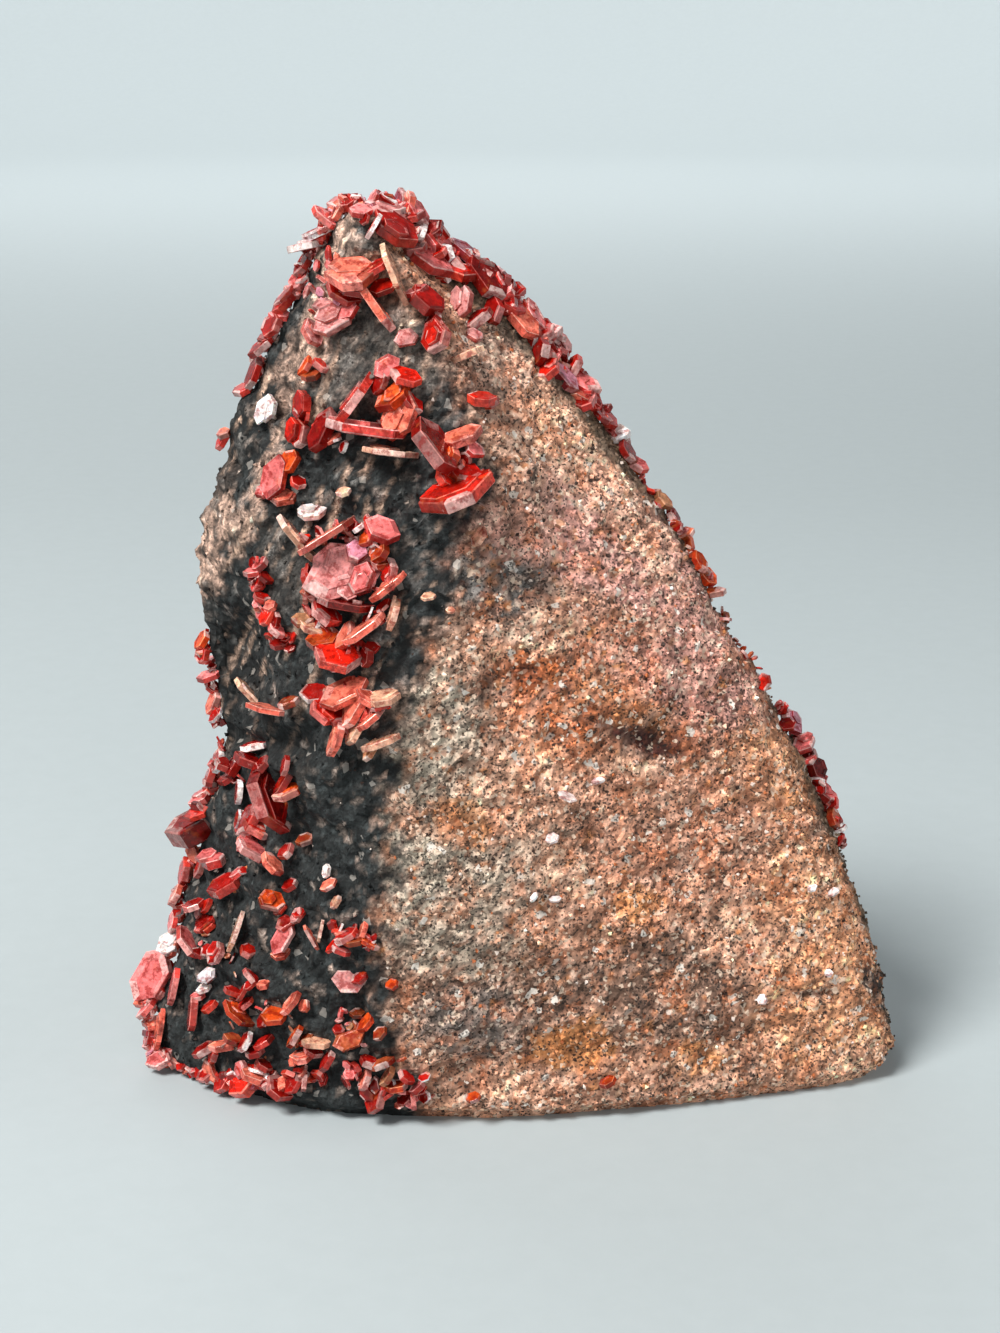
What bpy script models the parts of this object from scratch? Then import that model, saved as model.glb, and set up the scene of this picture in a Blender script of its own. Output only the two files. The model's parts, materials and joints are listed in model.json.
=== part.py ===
"""Vanadinite on matrix: a free-standing mineral specimen.

One block of broken, ore-bearing rock (the matrix) stands on its own flat foot.  Clusters of
vanadinite, six-sided orange-red tablets, have grown on its dark left face, over its crown and
down its right shoulder.

Metres, +Z up, front towards -Y.  The origin lies on the flat foot, below the middle of the block.
Lengths in the tables are millimetres.  Places on the front are written as (across, up) in a
picture plane that passes through SIGHT_CENTRE and faces a viewer who looks slightly down, so
that a crystal is found on the rock along that viewer's sight line.
"""
import math

import bmesh
import bpy
from mathutils import Matrix, Vector, noise
from mathutils.bvhtree import BVHTree

MM = 0.001

# Driving dimensions, in millimetres
ROCK_HEIGHT = 87.0          # top ring of the rock; its crown point stands a little higher
CROWN_RISE = 1.2
FOOT_INSET = 2.2            # broken lower edge: the flat foot ends this far inside the outline
FOOT_EDGE_RISE = 1.8        # and the full outline starts this high above it
LEAST_FOOT_RISE = 0.72      # no roughened point sinks lower than this
RING_COUNT = 30             # rings of the rock's loft, foot to crown
RING_POINTS = 38            # points round each ring
CORNER_WEIGHT = 3.0         # how firmly a ring point keeps its place when corners are rounded

LEDGE_HEIGHT = 33.5         # the upper left block overhangs the lower left face at this height
LEDGE_DEPTH = 3.0
LEDGE_THICKNESS = 2.6       # height over which the overhang steps back
LEDGE_FOOT = (2.0, 20.0)    # heights between which the step fades out downwards
LEDGE_SIDE = (0.35, 0.95)   # shares of the way to the ridge between which it fades out
RECESS_CENTRE = (-27.0, 0.0)            # shaded hollow of the left face, in the picture plane
RECESS_HALF_SIZE = (3.2, 6.5)
RECESS_DEPTH = 2.4

CRYSTAL_GAP = 0.3           # clearance between a crystal cluster and the rock
LOWEST_CRYSTAL = 0.7        # no crystal reaches lower than this above the foot
RIM_REACH = 0.36            # a rim crystal's middle stands off the rock by this share of its width
STAND = 0.25                # how far a tablet's middle stands off the rock: a fixed part,
STAND_OF_THICKNESS = 0.3    # a share of its thickness,
STAND_OF_WIDTH = 0.1        # and a share of its width as it leans
LINK_OVERLAP = 1.2          # a linking tablet reaches this much past the middles it joins
LINK_THICKNESS = 1.0
LINK_NARROW = 0.62          # its breadth as a share of its length
LINK_TIP = math.radians(35.0)           # how far its flat face tips away from the rock's skin
FIRM_OVERLAP = 6            # crossing triangle pairs that count as grown together
SEARCH_STEPS = 120          # places tried along a sight line that misses the rock
SEARCH_SPAN = 70.0          # and the length of the line that they cover

# Roughness of the rock: (size of the lumps, how far they swell, where the noise is read)
BROAD_LUMPS = (17.0, 0.75, Vector((3.1, 0.4, 7.7)))
BROKEN_FACETS = (7.5, 0.9, Vector((0.0, 0.0, 0.0)))
SMALL_BUMPS = (2.8, 0.28, Vector((9.0, 1.0, 4.0)))
BACK_FACETS = (15.0, 4.5, Vector((0.3, 0.8, 0.1)))
BACK_LUMPS = 1.2            # extra swell of the broad lumps on the back
FACET_LEVEL = 0.45          # cell distance at which a facet neither swells nor sinks
BACK_FACET_LEVEL = 0.42
BACK_BLEND = (3.0, 12.0)    # depths between which the back's roughness takes over
FOOT_BLEND = (0.0, 6.0)     # heights between which the roughness grows to its full share
FOOT_ROUGHNESS = 0.6
FRONT_LIMIT = 2.0           # the hollow is cut only into places in front of this depth

# The sight that front places are measured in
SIGHT_CENTRE = Vector((0.0, 0.0, 42.5))
SIGHT_DISTANCE = 220.0
SIGHT_TILT = math.radians(18.0)
SIGHT_UP = Vector((0.0, math.sin(SIGHT_TILT), math.cos(SIGHT_TILT)))
SIGHT_TOWARDS = Vector((0.0, -math.cos(SIGHT_TILT), math.sin(SIGHT_TILT)))

# Outlines of the rock in the front picture plane: (up, across)
LEFT_OUTLINE = [(-46, -27), (-43, -33), (-39, -36), (-34, -36), (-29, -34), (-22, -32), (-12, -29.5),
                (-7, -29.5), (0, -30.8), (8, -31.2), (15, -30.3), (20, -28.8), (25, -26.8),
                (31, -24.2), (37, -21.3), (42.6, -19), (45.5, -15.8)]
RIDGE_LINE = [(-45, 2), (-40, -5), (-33, -10), (-18, -11), (-5, -10), (5, -7), (15, -4), (22, -3),
              (34, -7), (44, -13)]
FACE_EDGE = [(-42, 39), (-30, 37.5), (-20, 34), (-10, 29.5), (-1, 25.5), (8, 20.3), (16, 14.9),
             (24, 8.4), (30, 3.4), (35, -1.5), (41, -8), (45, -11)]
RIGHT_OUTLINE = [(-42, 40.3), (-39, 41), (-32, 39.5), (-25, 36.5), (-16, 33.6), (-7.6, 30.2),
                 (0, 25.8), (8.4, 20.5), (17.6, 15.8), (25.5, 10.2), (32, 5.8), (38, 1), (42.6, -6),
                 (45.5, -9.5)]

# How far back each upright line of the rock lies: (height, y)
LEFT_DEPTH = [(0, -4), (20, -1.5), (45, 1), (65, 1.5), (80, 1), (87, 0)]
CHEEK_DEPTH = [(0, -14.5), (20, -12.5), (33, -10.5), (45, -9.5), (65, -6), (80, -4), (87, -2)]
RIDGE_DEPTH = [(0, -16.5), (20, -17.5), (45, -15), (65, -10.5), (80, -6), (87, -3)]
EDGE_DEPTH = [(0, -8), (20, -5), (45, -3), (65, -1.5), (80, 0), (87, 0)]
SHOULDER_DEPTH = [(0, 1), (20, 4), (45, 3.5), (65, 3), (80, 2.5), (87, 1.5)]
BACK_DEPTH = [(0, 26), (15, 26), (30, 23), (45, 18.5), (65, 12), (80, 7), (87, 3.5)]
CHEEK_SHARE = 0.42          # where the cheek stands between the left edge and the ridge
BROW_SHARES = (0.76, 0.72)  # and the brow: across, and in depth between the cheek and the ridge
FACE_SWELL = 0.9            # how far the middle of the broken face bulges forward
BACK_RIGHT = (0.86, 0.62)   # back corners: share of the width from the left edge, share of the depth
BACK_MIDDLE = 0.55
BACK_LEFT = (0.17, 0.78)


def curve_at(points, where):
    """Read a curve of (position, value) points at one position, straight between its points."""
    points = sorted(points)
    if where <= points[0][0]:
        return points[0][1]
    for (low, low_value), (high, high_value) in zip(points, points[1:]):
        if where <= high:
            return low_value + (high_value - low_value) * (where - low) / (high - low)
    return points[-1][1]


def mix(a, b, share):
    return a + (b - a) * share


def smooth_step(low, high, value):
    share = min(max((value - low) / (high - low), 0.0), 1.0)
    return share * share * (3.0 - 2.0 * share)


# ------------------------------------------------------------------------------ the front sight

def sight_scale(y, z):
    """How much larger a length at (y, z) is than its image in the picture plane."""
    offset = Vector((0.0, y, z)) - SIGHT_CENTRE
    return (SIGHT_DISTANCE - offset.dot(SIGHT_TOWARDS)) / SIGHT_DISTANCE


def picture_up(y, z):
    return (Vector((0.0, y, z)) - SIGHT_CENTRE).dot(SIGHT_UP) / sight_scale(y, z)


# ------------------------------------------------------------------------------------- the rock

def ledge_setback(height, across_share):
    """The lower left face stands back below the ledge; it fades out towards the ridge."""
    below = 1.0 - smooth_step(LEDGE_HEIGHT - LEDGE_THICKNESS, LEDGE_HEIGHT, height)
    foot = smooth_step(*LEDGE_FOOT, height)
    return LEDGE_DEPTH * below * foot * (1.0 - smooth_step(*LEDGE_SIDE, across_share))


def recess_setback(across, up):
    offset = (across - RECESS_CENTRE[0]) / RECESS_HALF_SIZE[0]
    rise = (up - RECESS_CENTRE[1]) / RECESS_HALF_SIZE[1]
    return RECESS_DEPTH * math.exp(-offset ** 2 - rise ** 2)


def rock_section(height):
    """Corner points of the rock's outline at one height, from the left edge round the front."""
    def front_point(outline, depth):
        y = curve_at(depth, height)
        across = curve_at(outline, picture_up(y, height))
        return Vector((across * sight_scale(y, height), y))

    left = front_point(LEFT_OUTLINE, LEFT_DEPTH)
    ridge = front_point(RIDGE_LINE, RIDGE_DEPTH)
    edge = front_point(FACE_EDGE, EDGE_DEPTH)
    shoulder = front_point(RIGHT_OUTLINE, SHOULDER_DEPTH)
    cheek = Vector((mix(left.x, ridge.x, CHEEK_SHARE), curve_at(CHEEK_DEPTH, height)))
    brow = Vector((mix(left.x, ridge.x, BROW_SHARES[0]), mix(cheek.y, ridge.y, BROW_SHARES[1])))
    middle = (ridge + edge) / 2 - Vector((0.0, FACE_SWELL))
    for corner, across_share in ((left, 0.0), (cheek, 0.3), (brow, 0.7)):
        corner.y += ledge_setback(height, across_share)
    back = curve_at(BACK_DEPTH, height)
    back_right = Vector((mix(left.x, shoulder.x, BACK_RIGHT[0]), mix(shoulder.y, back, BACK_RIGHT[1])))
    back_middle = Vector((mix(left.x, shoulder.x, BACK_MIDDLE), back))
    back_left = Vector((mix(left.x, shoulder.x, BACK_LEFT[0]), mix(left.y, back, BACK_LEFT[1])))
    return [left, cheek, brow, ridge, middle, edge, shoulder, back_right, back_middle, back_left]


def ring_points(height):
    """RING_POINTS places round the section, evenly spaced, with its corners slightly rounded."""
    corners = rock_section(height)
    closed = corners + corners[:1]
    lengths = [(b - a).length for a, b in zip(closed, closed[1:])]
    total = sum(lengths)
    points = []
    for index in range(RING_POINTS):
        travel = total * index / RING_POINTS
        side = 0
        while travel > lengths[side]:
            travel -= lengths[side]
            side += 1
        points.append(closed[side].lerp(closed[side + 1], travel / lengths[side]))
    return [
        (points[i - 1] + CORNER_WEIGHT * points[i] + points[(i + 1) % RING_POINTS]) / (CORNER_WEIGHT + 2)
        for i in range(RING_POINTS)
    ]


def lumps(place, kind):
    size, swell, start = kind
    return swell * noise.noise(place / size + start)


def facets(place, kind, level):
    size, swell, start = kind
    return swell * (level - noise.voronoi(place / size + start)[0][0])


def rock_swell(place):
    """How far the rock's skin swells outward at a place; the back is broken into larger facets."""
    broad = lumps(place, BROAD_LUMPS)
    swell = broad + facets(place, BROKEN_FACETS, FACET_LEVEL) + lumps(place, SMALL_BUMPS)
    back = facets(place, BACK_FACETS, BACK_FACET_LEVEL) + BACK_LUMPS * broad / BROAD_LUMPS[1]
    return swell + smooth_step(*BACK_BLEND, place.y) * back


def build_rock():
    """A loft through level sections, then broken up along its surface."""
    bm = bmesh.new()
    heights = [0.0, FOOT_EDGE_RISE]
    for index in range(1, RING_COUNT - 1):
        heights.append(mix(FOOT_EDGE_RISE, ROCK_HEIGHT, index / (RING_COUNT - 2)))
    rings = []
    for height in heights:
        points = ring_points(max(height, FOOT_EDGE_RISE))
        centre = sum(points, Vector((0.0, 0.0))) / RING_POINTS
        if height == 0.0:
            points = [p - (p - centre).normalized() * FOOT_INSET for p in points]
        rings.append([bm.verts.new((p.x, p.y, height)) for p in points])
    for lower, upper in zip(rings, rings[1:]):
        for i in range(RING_POINTS):
            j = (i + 1) % RING_POINTS
            bm.faces.new((lower[i], lower[j], upper[j], upper[i]))
    bm.faces.new(reversed(rings[0]))
    top_middle = sum((vert.co for vert in rings[-1]), Vector()) / RING_POINTS
    crown = bm.verts.new(top_middle + Vector((0.0, 0.0, CROWN_RISE)))
    for i in range(RING_POINTS):
        bm.faces.new((rings[-1][i], rings[-1][(i + 1) % RING_POINTS], crown))
    roughen_rock(bm, foot=set(rings[0]))
    bm.normal_update()
    return bm


def roughen_rock(bm, foot):
    """Move every point outside the flat foot along its normal."""
    bm.normal_update()
    moves = {}
    for vert in bm.verts:
        if vert in foot:
            continue
        place = vert.co.copy()
        swell = rock_swell(place) * mix(FOOT_ROUGHNESS, 1.0, smooth_step(*FOOT_BLEND, place.z))
        if place.y < FRONT_LIMIT:
            across = place.x / sight_scale(place.y, place.z)
            swell -= recess_setback(across, picture_up(place.y, place.z))
        moves[vert] = place + vert.normal * swell
    for vert, place in moves.items():
        place.z = max(place.z, LEAST_FOOT_RISE)
        vert.co = place


# ---------------------------------------------------------------------------- the crystal tables
#
# Each tablet is (across, up, width, thickness, turn, lean): its middle in the picture plane, its
# width across corners, its thickness, the direction of its long visible side in degrees
# anticlockwise from level, and how far its flat face leans away from the viewer (0 face-on,
# 90 edge-on).

CLUSTERS = {
    "crown_left": [
        (-16.0, 46.0, 3.2, 1.0, 10, 55), (-17.9, 44.6, 2.8, 0.9, -40, 60), (-19.2, 42.6, 3.0, 0.8, 35, 80),
    ],
    "crown_band": [
        (-12.7, 46.0, 2.8, 1.1, 60, 60), (-11.2, 44.8, 3.8, 1.2, -20, 40), (-9.2, 46.3, 3.2, 1.1, 30, 60),
        (-10.4, 43.2, 4.4, 1.5, -35, 50), (-7.3, 41.3, 4.4, 1.4, -35, 60), (-4.6, 40.6, 4.0, 1.2, -40, 55),
        (-1.5, 38.9, 4.6, 1.6, -55, 45), (1.2, 37.3, 3.6, 1.2, -60, 60), (-0.9, 35.4, 3.2, 1.2, 70, 45),
        (2.2, 34.6, 4.0, 1.4, -50, 45), (4.6, 33.2, 3.8, 1.2, -50, 55), (5.2, 30.7, 3.6, 1.2, 80, 60),
        (6.8, 28.8, 3.4, 1.2, -50, 55), (9.0, 27.6, 3.6, 1.3, -30, 45),
    ],
    "right_edge_upper": [
        (11.0, 24.4, 2.8, 0.9, -50, 60), (12.4, 22.4, 3.0, 0.9, -60, 50),
    ],
    "right_edge_middle": [
        (16.8, 15.9, 2.6, 0.9, -55, 55), (18.0, 14.0, 2.4, 0.8, -60, 60),
    ],
    "right_edge_orange": [
        (20.2, 10.2, 2.4, 0.9, -60, 50), (21.1, 8.3, 2.4, 0.9, -50, 55),
    ],
    "right_edge_lower": [
        (30.6, -7.6, 3.0, 1.0, -40, 50), (31.8, -10.2, 3.2, 1.2, -70, 50), (32.8, -12.9, 3.0, 1.0, -55, 55),
    ],
    "left_shoulder": [
        (-20.6, 38.2, 2.8, 1.0, 60, 50), (-22.0, 36.1, 3.0, 1.1, 50, 60), (-23.2, 33.6, 3.0, 1.0, 70, 55),
    ],
    "left_rim": [
        (-25.0, 29.4, 2.2, 0.9, 70, 60), (-25.9, 27.8, 1.8, 0.8, 30, 50),
    ],
    "upper_tablet": [
        (-14.6, 38.9, 4.8, 1.4, 5, 52), (-15.8, 36.9, 3.2, 1.0, -30, 40), (-12.6, 36.4, 4.2, 1.0, -55, 80),
        (-10.8, 38.8, 4.6, 0.8, -68, 85),
    ],
    "small_trio": [
        (-19.3, 29.9, 2.2, 0.8, 60, 60), (-17.9, 29.6, 2.4, 0.8, -20, 60),
    ],
    "pale_hexagon": [
        (-9.6, 32.6, 2.0, 0.8, 10, 15),
    ],
    "red_block": [
        (-7.3, 36.2, 3.2, 1.6, -42, 50), (-6.4, 33.4, 3.6, 1.6, 75, 35),
    ],
    "cream_bar": [
        (-3.3, 31.0, 3.0, 0.8, 23, 85),
    ],
    "central_cluster": [
        (-10.6, 29.0, 3.4, 1.0, -15, 45), (-10.7, 26.9, 3.4, 1.2, 60, 45), (-10.0, 24.9, 4.0, 1.2, 70, 30),
        (-13.3, 23.7, 7.2, 1.1, -8, 84), (-14.6, 26.0, 4.8, 1.1, 54, 82), (-17.7, 23.5, 3.4, 1.5, 65, 45),
        (-19.9, 24.6, 4.2, 1.2, 86, 50),
        (-6.5, 22.0, 5.6, 1.7, -53, 68), (-3.9, 22.5, 3.2, 1.2, 20, 50), (-4.3, 19.8, 3.4, 1.2, 60, 55),
        (-4.3, 17.3, 6.4, 1.6, 22, 72),
    ],
    "white_plate": [
        (-23.2, 25.7, 2.4, 0.8, 80, 45),
    ],
    "lone_red": [
        (-1.8, 26.6, 2.4, 1.1, -5, 60),
    ],
    "left_middle": [
        (-22.2, 19.3, 3.8, 1.1, 80, 35), (-21.2, 17.4, 3.0, 0.9, 10, 45),
    ],
    "white_chip": [
        (-18.6, 15.4, 2.2, 0.8, 5, 50),
    ],
    "rosette": [
        (-15.2, 9.4, 7.0, 1.5, 15, 8), (-19.5, 12.2, 4.6, 0.8, -50, 84), (-16.8, 12.9, 5.4, 0.8, 32, 84),
        (-11.9, 12.8, 3.4, 1.2, -20, 40), (-11.2, 8.2, 3.6, 0.8, 39, 80), (-16.4, 5.2, 3.6, 1.1, -40, 50),
        (-13.3, 3.9, 4.8, 0.9, 36, 80), (-15.9, 1.2, 4.8, 1.3, -15, 48),
    ],
    "left_chain_high": [
        (-24.0, 9.6, 2.4, 0.8, 60, 55), (-23.7, 7.4, 2.4, 0.8, 80, 60),
    ],
    "left_chain_low": [
        (-22.9, 4.6, 2.6, 0.9, -60, 50), (-22.0, 2.8, 2.4, 0.8, -40, 60),
    ],
    "ledge_cluster": [
        (-15.2, -2.7, 4.2, 1.1, 25, 40), (-17.9, -3.2, 3.4, 1.0, -20, 45), (-14.0, -4.6, 3.8, 1.1, 50, 60),
        (-16.4, -6.0, 4.4, 0.9, 75, 74), (-11.8, -3.5, 3.0, 0.8, 10, 75),
    ],
    "ledge_cream_bar": [
        (-11.9, -7.6, 3.0, 0.8, 20, 85),
    ],
    "ledge_long_bar": [
        (-23.6, -3.2, 5.0, 0.8, -25, 85),
    ],
    "left_edge_upper": [
        (-30.6, 1.8, 2.8, 0.9, 70, 60), (-31.0, -0.6, 2.8, 0.9, 85, 50),
    ],
    "under_ledge_left": [
        (-28.2, -9.4, 2.4, 0.9, 75, 70), (-26.6, -10.2, 2.8, 1.1, 40, 50),
    ],
    "left_rim_low": [
        (-30.4, -10.6, 2.6, 1.0, 70, 60), (-28.8, -12.2, 3.0, 1.0, 10, 60),
    ],
    "under_ledge_group": [
        (-24.6, -8.6, 3.2, 1.1, -10, 60), (-22.9, -13.2, 6.2, 1.8, -72, 72), (-20.9, -12.0, 3.0, 1.0, 25, 70),
        (-24.9, -15.2, 3.6, 1.3, 60, 50),
    ],
    "bent_bar": [
        (-24.0, -18.7, 4.0, 1.0, -32, 80), (-21.6, -18.6, 2.4, 0.9, 40, 70),
    ],
    "barrel": [
        (-30.6, -16.2, 5.0, 3.0, 28, 66),
    ],
    "lower_left_group": [
        (-28.5, -19.8, 3.4, 1.4, 15, 50), (-27.4, -21.8, 4.0, 1.6, 30, 55), (-30.2, -23.4, 3.4, 1.0, 20, 60),
    ],
    "left_rim_foot": [
        (-32.4, -20.4, 3.0, 1.2, 80, 50), (-32.9, -22.9, 3.0, 1.1, 70, 55),
    ],
    "orange_hexagon": [
        (-22.4, -23.2, 3.2, 1.1, -15, 35),
    ],
    "pink_hexagon": [
        (-21.3, -26.2, 3.0, 0.9, 60, 40), (-21.9, -28.2, 2.8, 0.9, 70, 35),
    ],
    "thin_bar": [
        (-26.3, -26.3, 4.0, 0.6, 70, 86),
    ],
    "left_bars": [
        (-30.9, -27.4, 4.4, 0.9, -54, 80), (-29.0, -28.6, 3.0, 1.1, 40, 50),
    ],
    "big_left_hexagon": [
        (-34.9, -28.0, 3.4, 1.0, 30, 40), (-35.7, -30.8, 4.6, 1.5, 60, 25), (-33.2, -31.9, 3.8, 0.8, 78, 82),
    ],
    "foot_corner": [
        (-36.0, -35.0, 3.2, 1.0, 80, 50), (-34.6, -35.8, 3.8, 0.9, 75, 80),
    ],
    "pale_disc": [
        (-15.0, -31.5, 2.9, 0.9, 0, 12),
    ],
    "rusty_group": [
        (-15.1, -26.9, 2.8, 0.9, 30, 50), (-13.6, -27.3, 2.6, 0.8, 60, 60),
    ],
    "grey_hexagon": [
        (-29.2, -31.0, 1.9, 0.8, 40, 30),
    ],
    "middle_chips": [
        (-24.3, -31.2, 2.4, 0.8, -30, 55),
    ],
    "lower_bars": [
        (-30.6, -34.4, 3.2, 1.2, 85, 60), (-29.2, -33.7, 2.6, 0.9, 40, 60),
    ],
    "crossed_bars": [
        (-26.0, -34.2, 4.2, 0.9, -41, 80),
    ],
    "red_plate": [
        (-22.2, -34.4, 3.8, 1.2, 10, 60),
    ],
    "foot_left": [
        (-29.3, -38.2, 3.0, 1.1, 10, 55), (-26.9, -37.9, 3.4, 0.9, 5, 65), (-24.3, -37.9, 3.4, 1.0, 20, 60),
    ],
    "foot_middle": [
        (-20.2, -37.4, 3.0, 0.9, 40, 60), (-18.4, -38.0, 3.2, 0.9, -5, 75),
    ],
    "brown_hexagon": [
        (-14.8, -37.0, 3.2, 1.1, 20, 25),
    ],
    "foot_right": [
        (-13.0, -40.6, 3.0, 1.1, 50, 55), (-11.6, -42.2, 3.6, 1.3, 75, 55), (-9.4, -41.8, 2.8, 1.0, 10, 55),
    ],
    "foot_bundle": [
        (-32.8, -39.8, 3.6, 1.2, -30, 70), (-30.4, -40.2, 4.0, 1.2, 20, 70),
    ],
    "foot_red_bundle": [
        (-26.6, -41.0, 3.8, 1.2, 0, 70), (-24.2, -41.4, 4.6, 1.8, 50, 60), (-22.0, -41.2, 3.4, 1.2, -40, 60),
    ],
}

# The same, seen from behind: across grows towards the viewer's right, which is -X here
BACK_CLUSTERS = {
    "back_crown": [
        (11.9, 42.2, 3.8, 1.2, 20, 45), (10.2, 40.0, 3.6, 1.1, -30, 50),
    ],
    "back_shoulder_high": [
        (3.0, 37.0, 3.6, 1.2, 40, 45), (2.4, 34.8, 3.4, 1.1, -20, 50), (0.8, 33.0, 3.2, 1.0, 30, 40),
    ],
    "back_shoulder_middle": [
        (-5.4, 26.2, 3.6, 1.2, 50, 45), (-6.6, 24.0, 3.4, 1.0, -10, 50),
    ],
    "back_shoulder_low": [
        (-13.8, 14.4, 3.4, 1.2, 60, 45), (-14.6, 12.2, 3.4, 1.0, 10, 55),
    ],
    "back_rosette": [
        (4.0, 15.0, 5.4, 1.3, 10, 12), (1.2, 16.8, 3.0, 0.8, 50, 82), (6.8, 16.6, 3.0, 0.8, -40, 82),
        (5.0, 11.8, 3.2, 0.9, -10, 75),
    ],
    "back_left_group": [
        (19.6, 19.6, 3.6, 1.1, -40, 45), (18.8, 17.6, 3.2, 1.0, 30, 50),
    ],
    "back_low_group": [
        (-22.4, -4.4, 3.2, 1.1, 40, 50), (-23.2, -6.4, 3.2, 1.0, -20, 45),
    ],
}


# ------------------------------------------------------------------------------ scene collections

def clear_scene():
    for obj in list(bpy.data.objects):
        bpy.data.objects.remove(obj, do_unlink=True)


def new_collection(name):
    collection = bpy.data.collections.new(name)
    bpy.context.scene.collection.children.link(collection)
    return collection


def principled(name, colour, roughness):
    material = bpy.data.materials.new(name)
    material.use_nodes = True
    shader = material.node_tree.nodes["Principled BSDF"]
    shader.inputs["Base Color"].default_value = (*colour, 1.0)
    shader.inputs["Roughness"].default_value = roughness
    material.diffuse_color = (*colour, 1.0)
    return material


# -------------------------------------------------------------------------- building the crystals

class Sight:
    """A viewer's eye and the picture plane that crystal places are written in."""

    def __init__(self, side):
        """Side is 1 for the front and -1 for the back."""
        self.towards = Vector((0.0, -side * math.cos(SIGHT_TILT), math.sin(SIGHT_TILT)))
        self.across = Vector((side, 0.0, 0.0))
        self.up = Vector((0.0, side * math.sin(SIGHT_TILT), math.cos(SIGHT_TILT)))
        self.eye = SIGHT_CENTRE + SIGHT_DISTANCE * self.towards

    def line(self, across, up):
        place = SIGHT_CENTRE + across * self.across + up * self.up
        return (place - self.eye).normalized()

    def find_rock(self, rock_tree, across, up):
        """A place on the sight line, and the rock point that it touches or passes closest to."""
        direction = self.line(across, up)
        hit = rock_tree.ray_cast(self.eye, direction)[0]
        if hit is not None:
            return hit, hit
        candidates = []
        for step in range(SEARCH_STEPS):
            reach = SIGHT_DISTANCE + SEARCH_SPAN * (step / SEARCH_STEPS - 0.5)
            place = self.eye + reach * direction
            nearest, _, _, distance = rock_tree.find_nearest(place)
            candidates.append((distance, step, place, nearest))
        return min(candidates)[2:]


def lying_frame(place, long_side, normal):
    """The position of a tablet with its long side and its flat face's normal given."""
    turned = Matrix((long_side, normal.cross(long_side), normal)).transposed().to_4x4()
    return Matrix.Translation(place) @ turned


def hexagonal_plate(width, thickness, breadth_share=1.0):
    """A six-sided plate about the origin, a corner of it on the X axis."""
    bm = bmesh.new()
    bmesh.ops.create_cone(
        bm, cap_ends=True, segments=6, radius1=width / 2, radius2=width / 2, depth=thickness
    )
    bmesh.ops.rotate(bm, verts=bm.verts, matrix=Matrix.Rotation(math.pi / 6, 3, "Z"))
    bmesh.ops.scale(bm, vec=(1.0, breadth_share, 1.0), verts=bm.verts)
    return bm


def tablet_mesh(sight, rock_tree, entry):
    """One six-sided tablet, standing on the rock, as a bmesh."""
    across, up, width, thickness, turn, lean = entry
    place, root = sight.find_rock(rock_tree, across, up)
    turn = math.radians(turn)
    lean = math.radians(lean)
    if place == root:
        stand = STAND + STAND_OF_THICKNESS * thickness + STAND_OF_WIDTH * width * math.sin(lean)
        place = place + sight.towards * stand
    elif (place - root).length > RIM_REACH * width:
        place = root + (place - root).normalized() * RIM_REACH * width
    long_side = math.cos(turn) * sight.across + math.sin(turn) * sight.up
    aside = sight.towards.cross(long_side)
    normal = (math.cos(lean) * sight.towards + math.sin(lean) * aside).normalized()
    bm = hexagonal_plate(width, thickness)
    bm.transform(lying_frame(place, long_side, normal))
    keep_above_foot(bm)
    return bm


def keep_above_foot(bm):
    lowest = min(vert.co.z for vert in bm.verts)
    if lowest < LOWEST_CRYSTAL:
        bmesh.ops.translate(bm, verts=bm.verts, vec=(0.0, 0.0, LOWEST_CRYSTAL - lowest))


def middle_of(piece):
    return sum((vert.co for vert in piece.verts), Vector()) / len(piece.verts)


def linking_tablet(rock_tree, start, end):
    """A slim tablet that has grown along the rock from one crystal to its neighbour."""
    middle = (start + end) / 2
    along = (end - start).normalized()
    outward = rock_tree.find_nearest(middle)[1]
    side = along.cross(outward).normalized()
    normal = (math.cos(LINK_TIP) * side.cross(along) + math.sin(LINK_TIP) * side).normalized()
    bm = hexagonal_plate((end - start).length + LINK_OVERLAP, LINK_THICKNESS, LINK_NARROW)
    bm.transform(lying_frame(middle, along, normal))
    keep_above_foot(bm)
    return bm


def join_by_links(rock_tree, tablets):
    """Add linking tablets until all tablets of a cluster hang together."""
    trees = [BVHTree.FromBMesh(tablet) for tablet in tablets]
    middles = [middle_of(tablet) for tablet in tablets]
    group = list(range(len(tablets)))

    def merge(first, second):
        old, new = group[first], group[second]
        for index, value in enumerate(group):
            if value == old:
                group[index] = new

    pairs = [(i, j) for i in range(len(tablets)) for j in range(i)]
    for i, j in pairs:
        if len(trees[i].overlap(trees[j])) >= FIRM_OVERLAP:
            merge(i, j)
    links = []
    for i, j in sorted(pairs, key=lambda pair: (middles[pair[0]] - middles[pair[1]]).length):
        if group[i] != group[j]:
            links.append(linking_tablet(rock_tree, middles[i], middles[j]))
            merge(i, j)
    return tablets + links


def swollen_copy(bm, distance):
    """The rock with its skin moved out by a distance."""
    copy = bm.copy()
    copy.normal_update()
    moves = [vert.co + vert.normal * distance for vert in copy.verts]
    for vert, place in zip(copy.verts, moves):
        vert.co = place
    return copy


def mesh_object(name, bm, collection):
    mesh = bpy.data.meshes.new(name)
    bm.to_mesh(mesh)
    bm.free()
    obj = bpy.data.objects.new(name, mesh)
    collection.objects.link(obj)
    return obj


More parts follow.
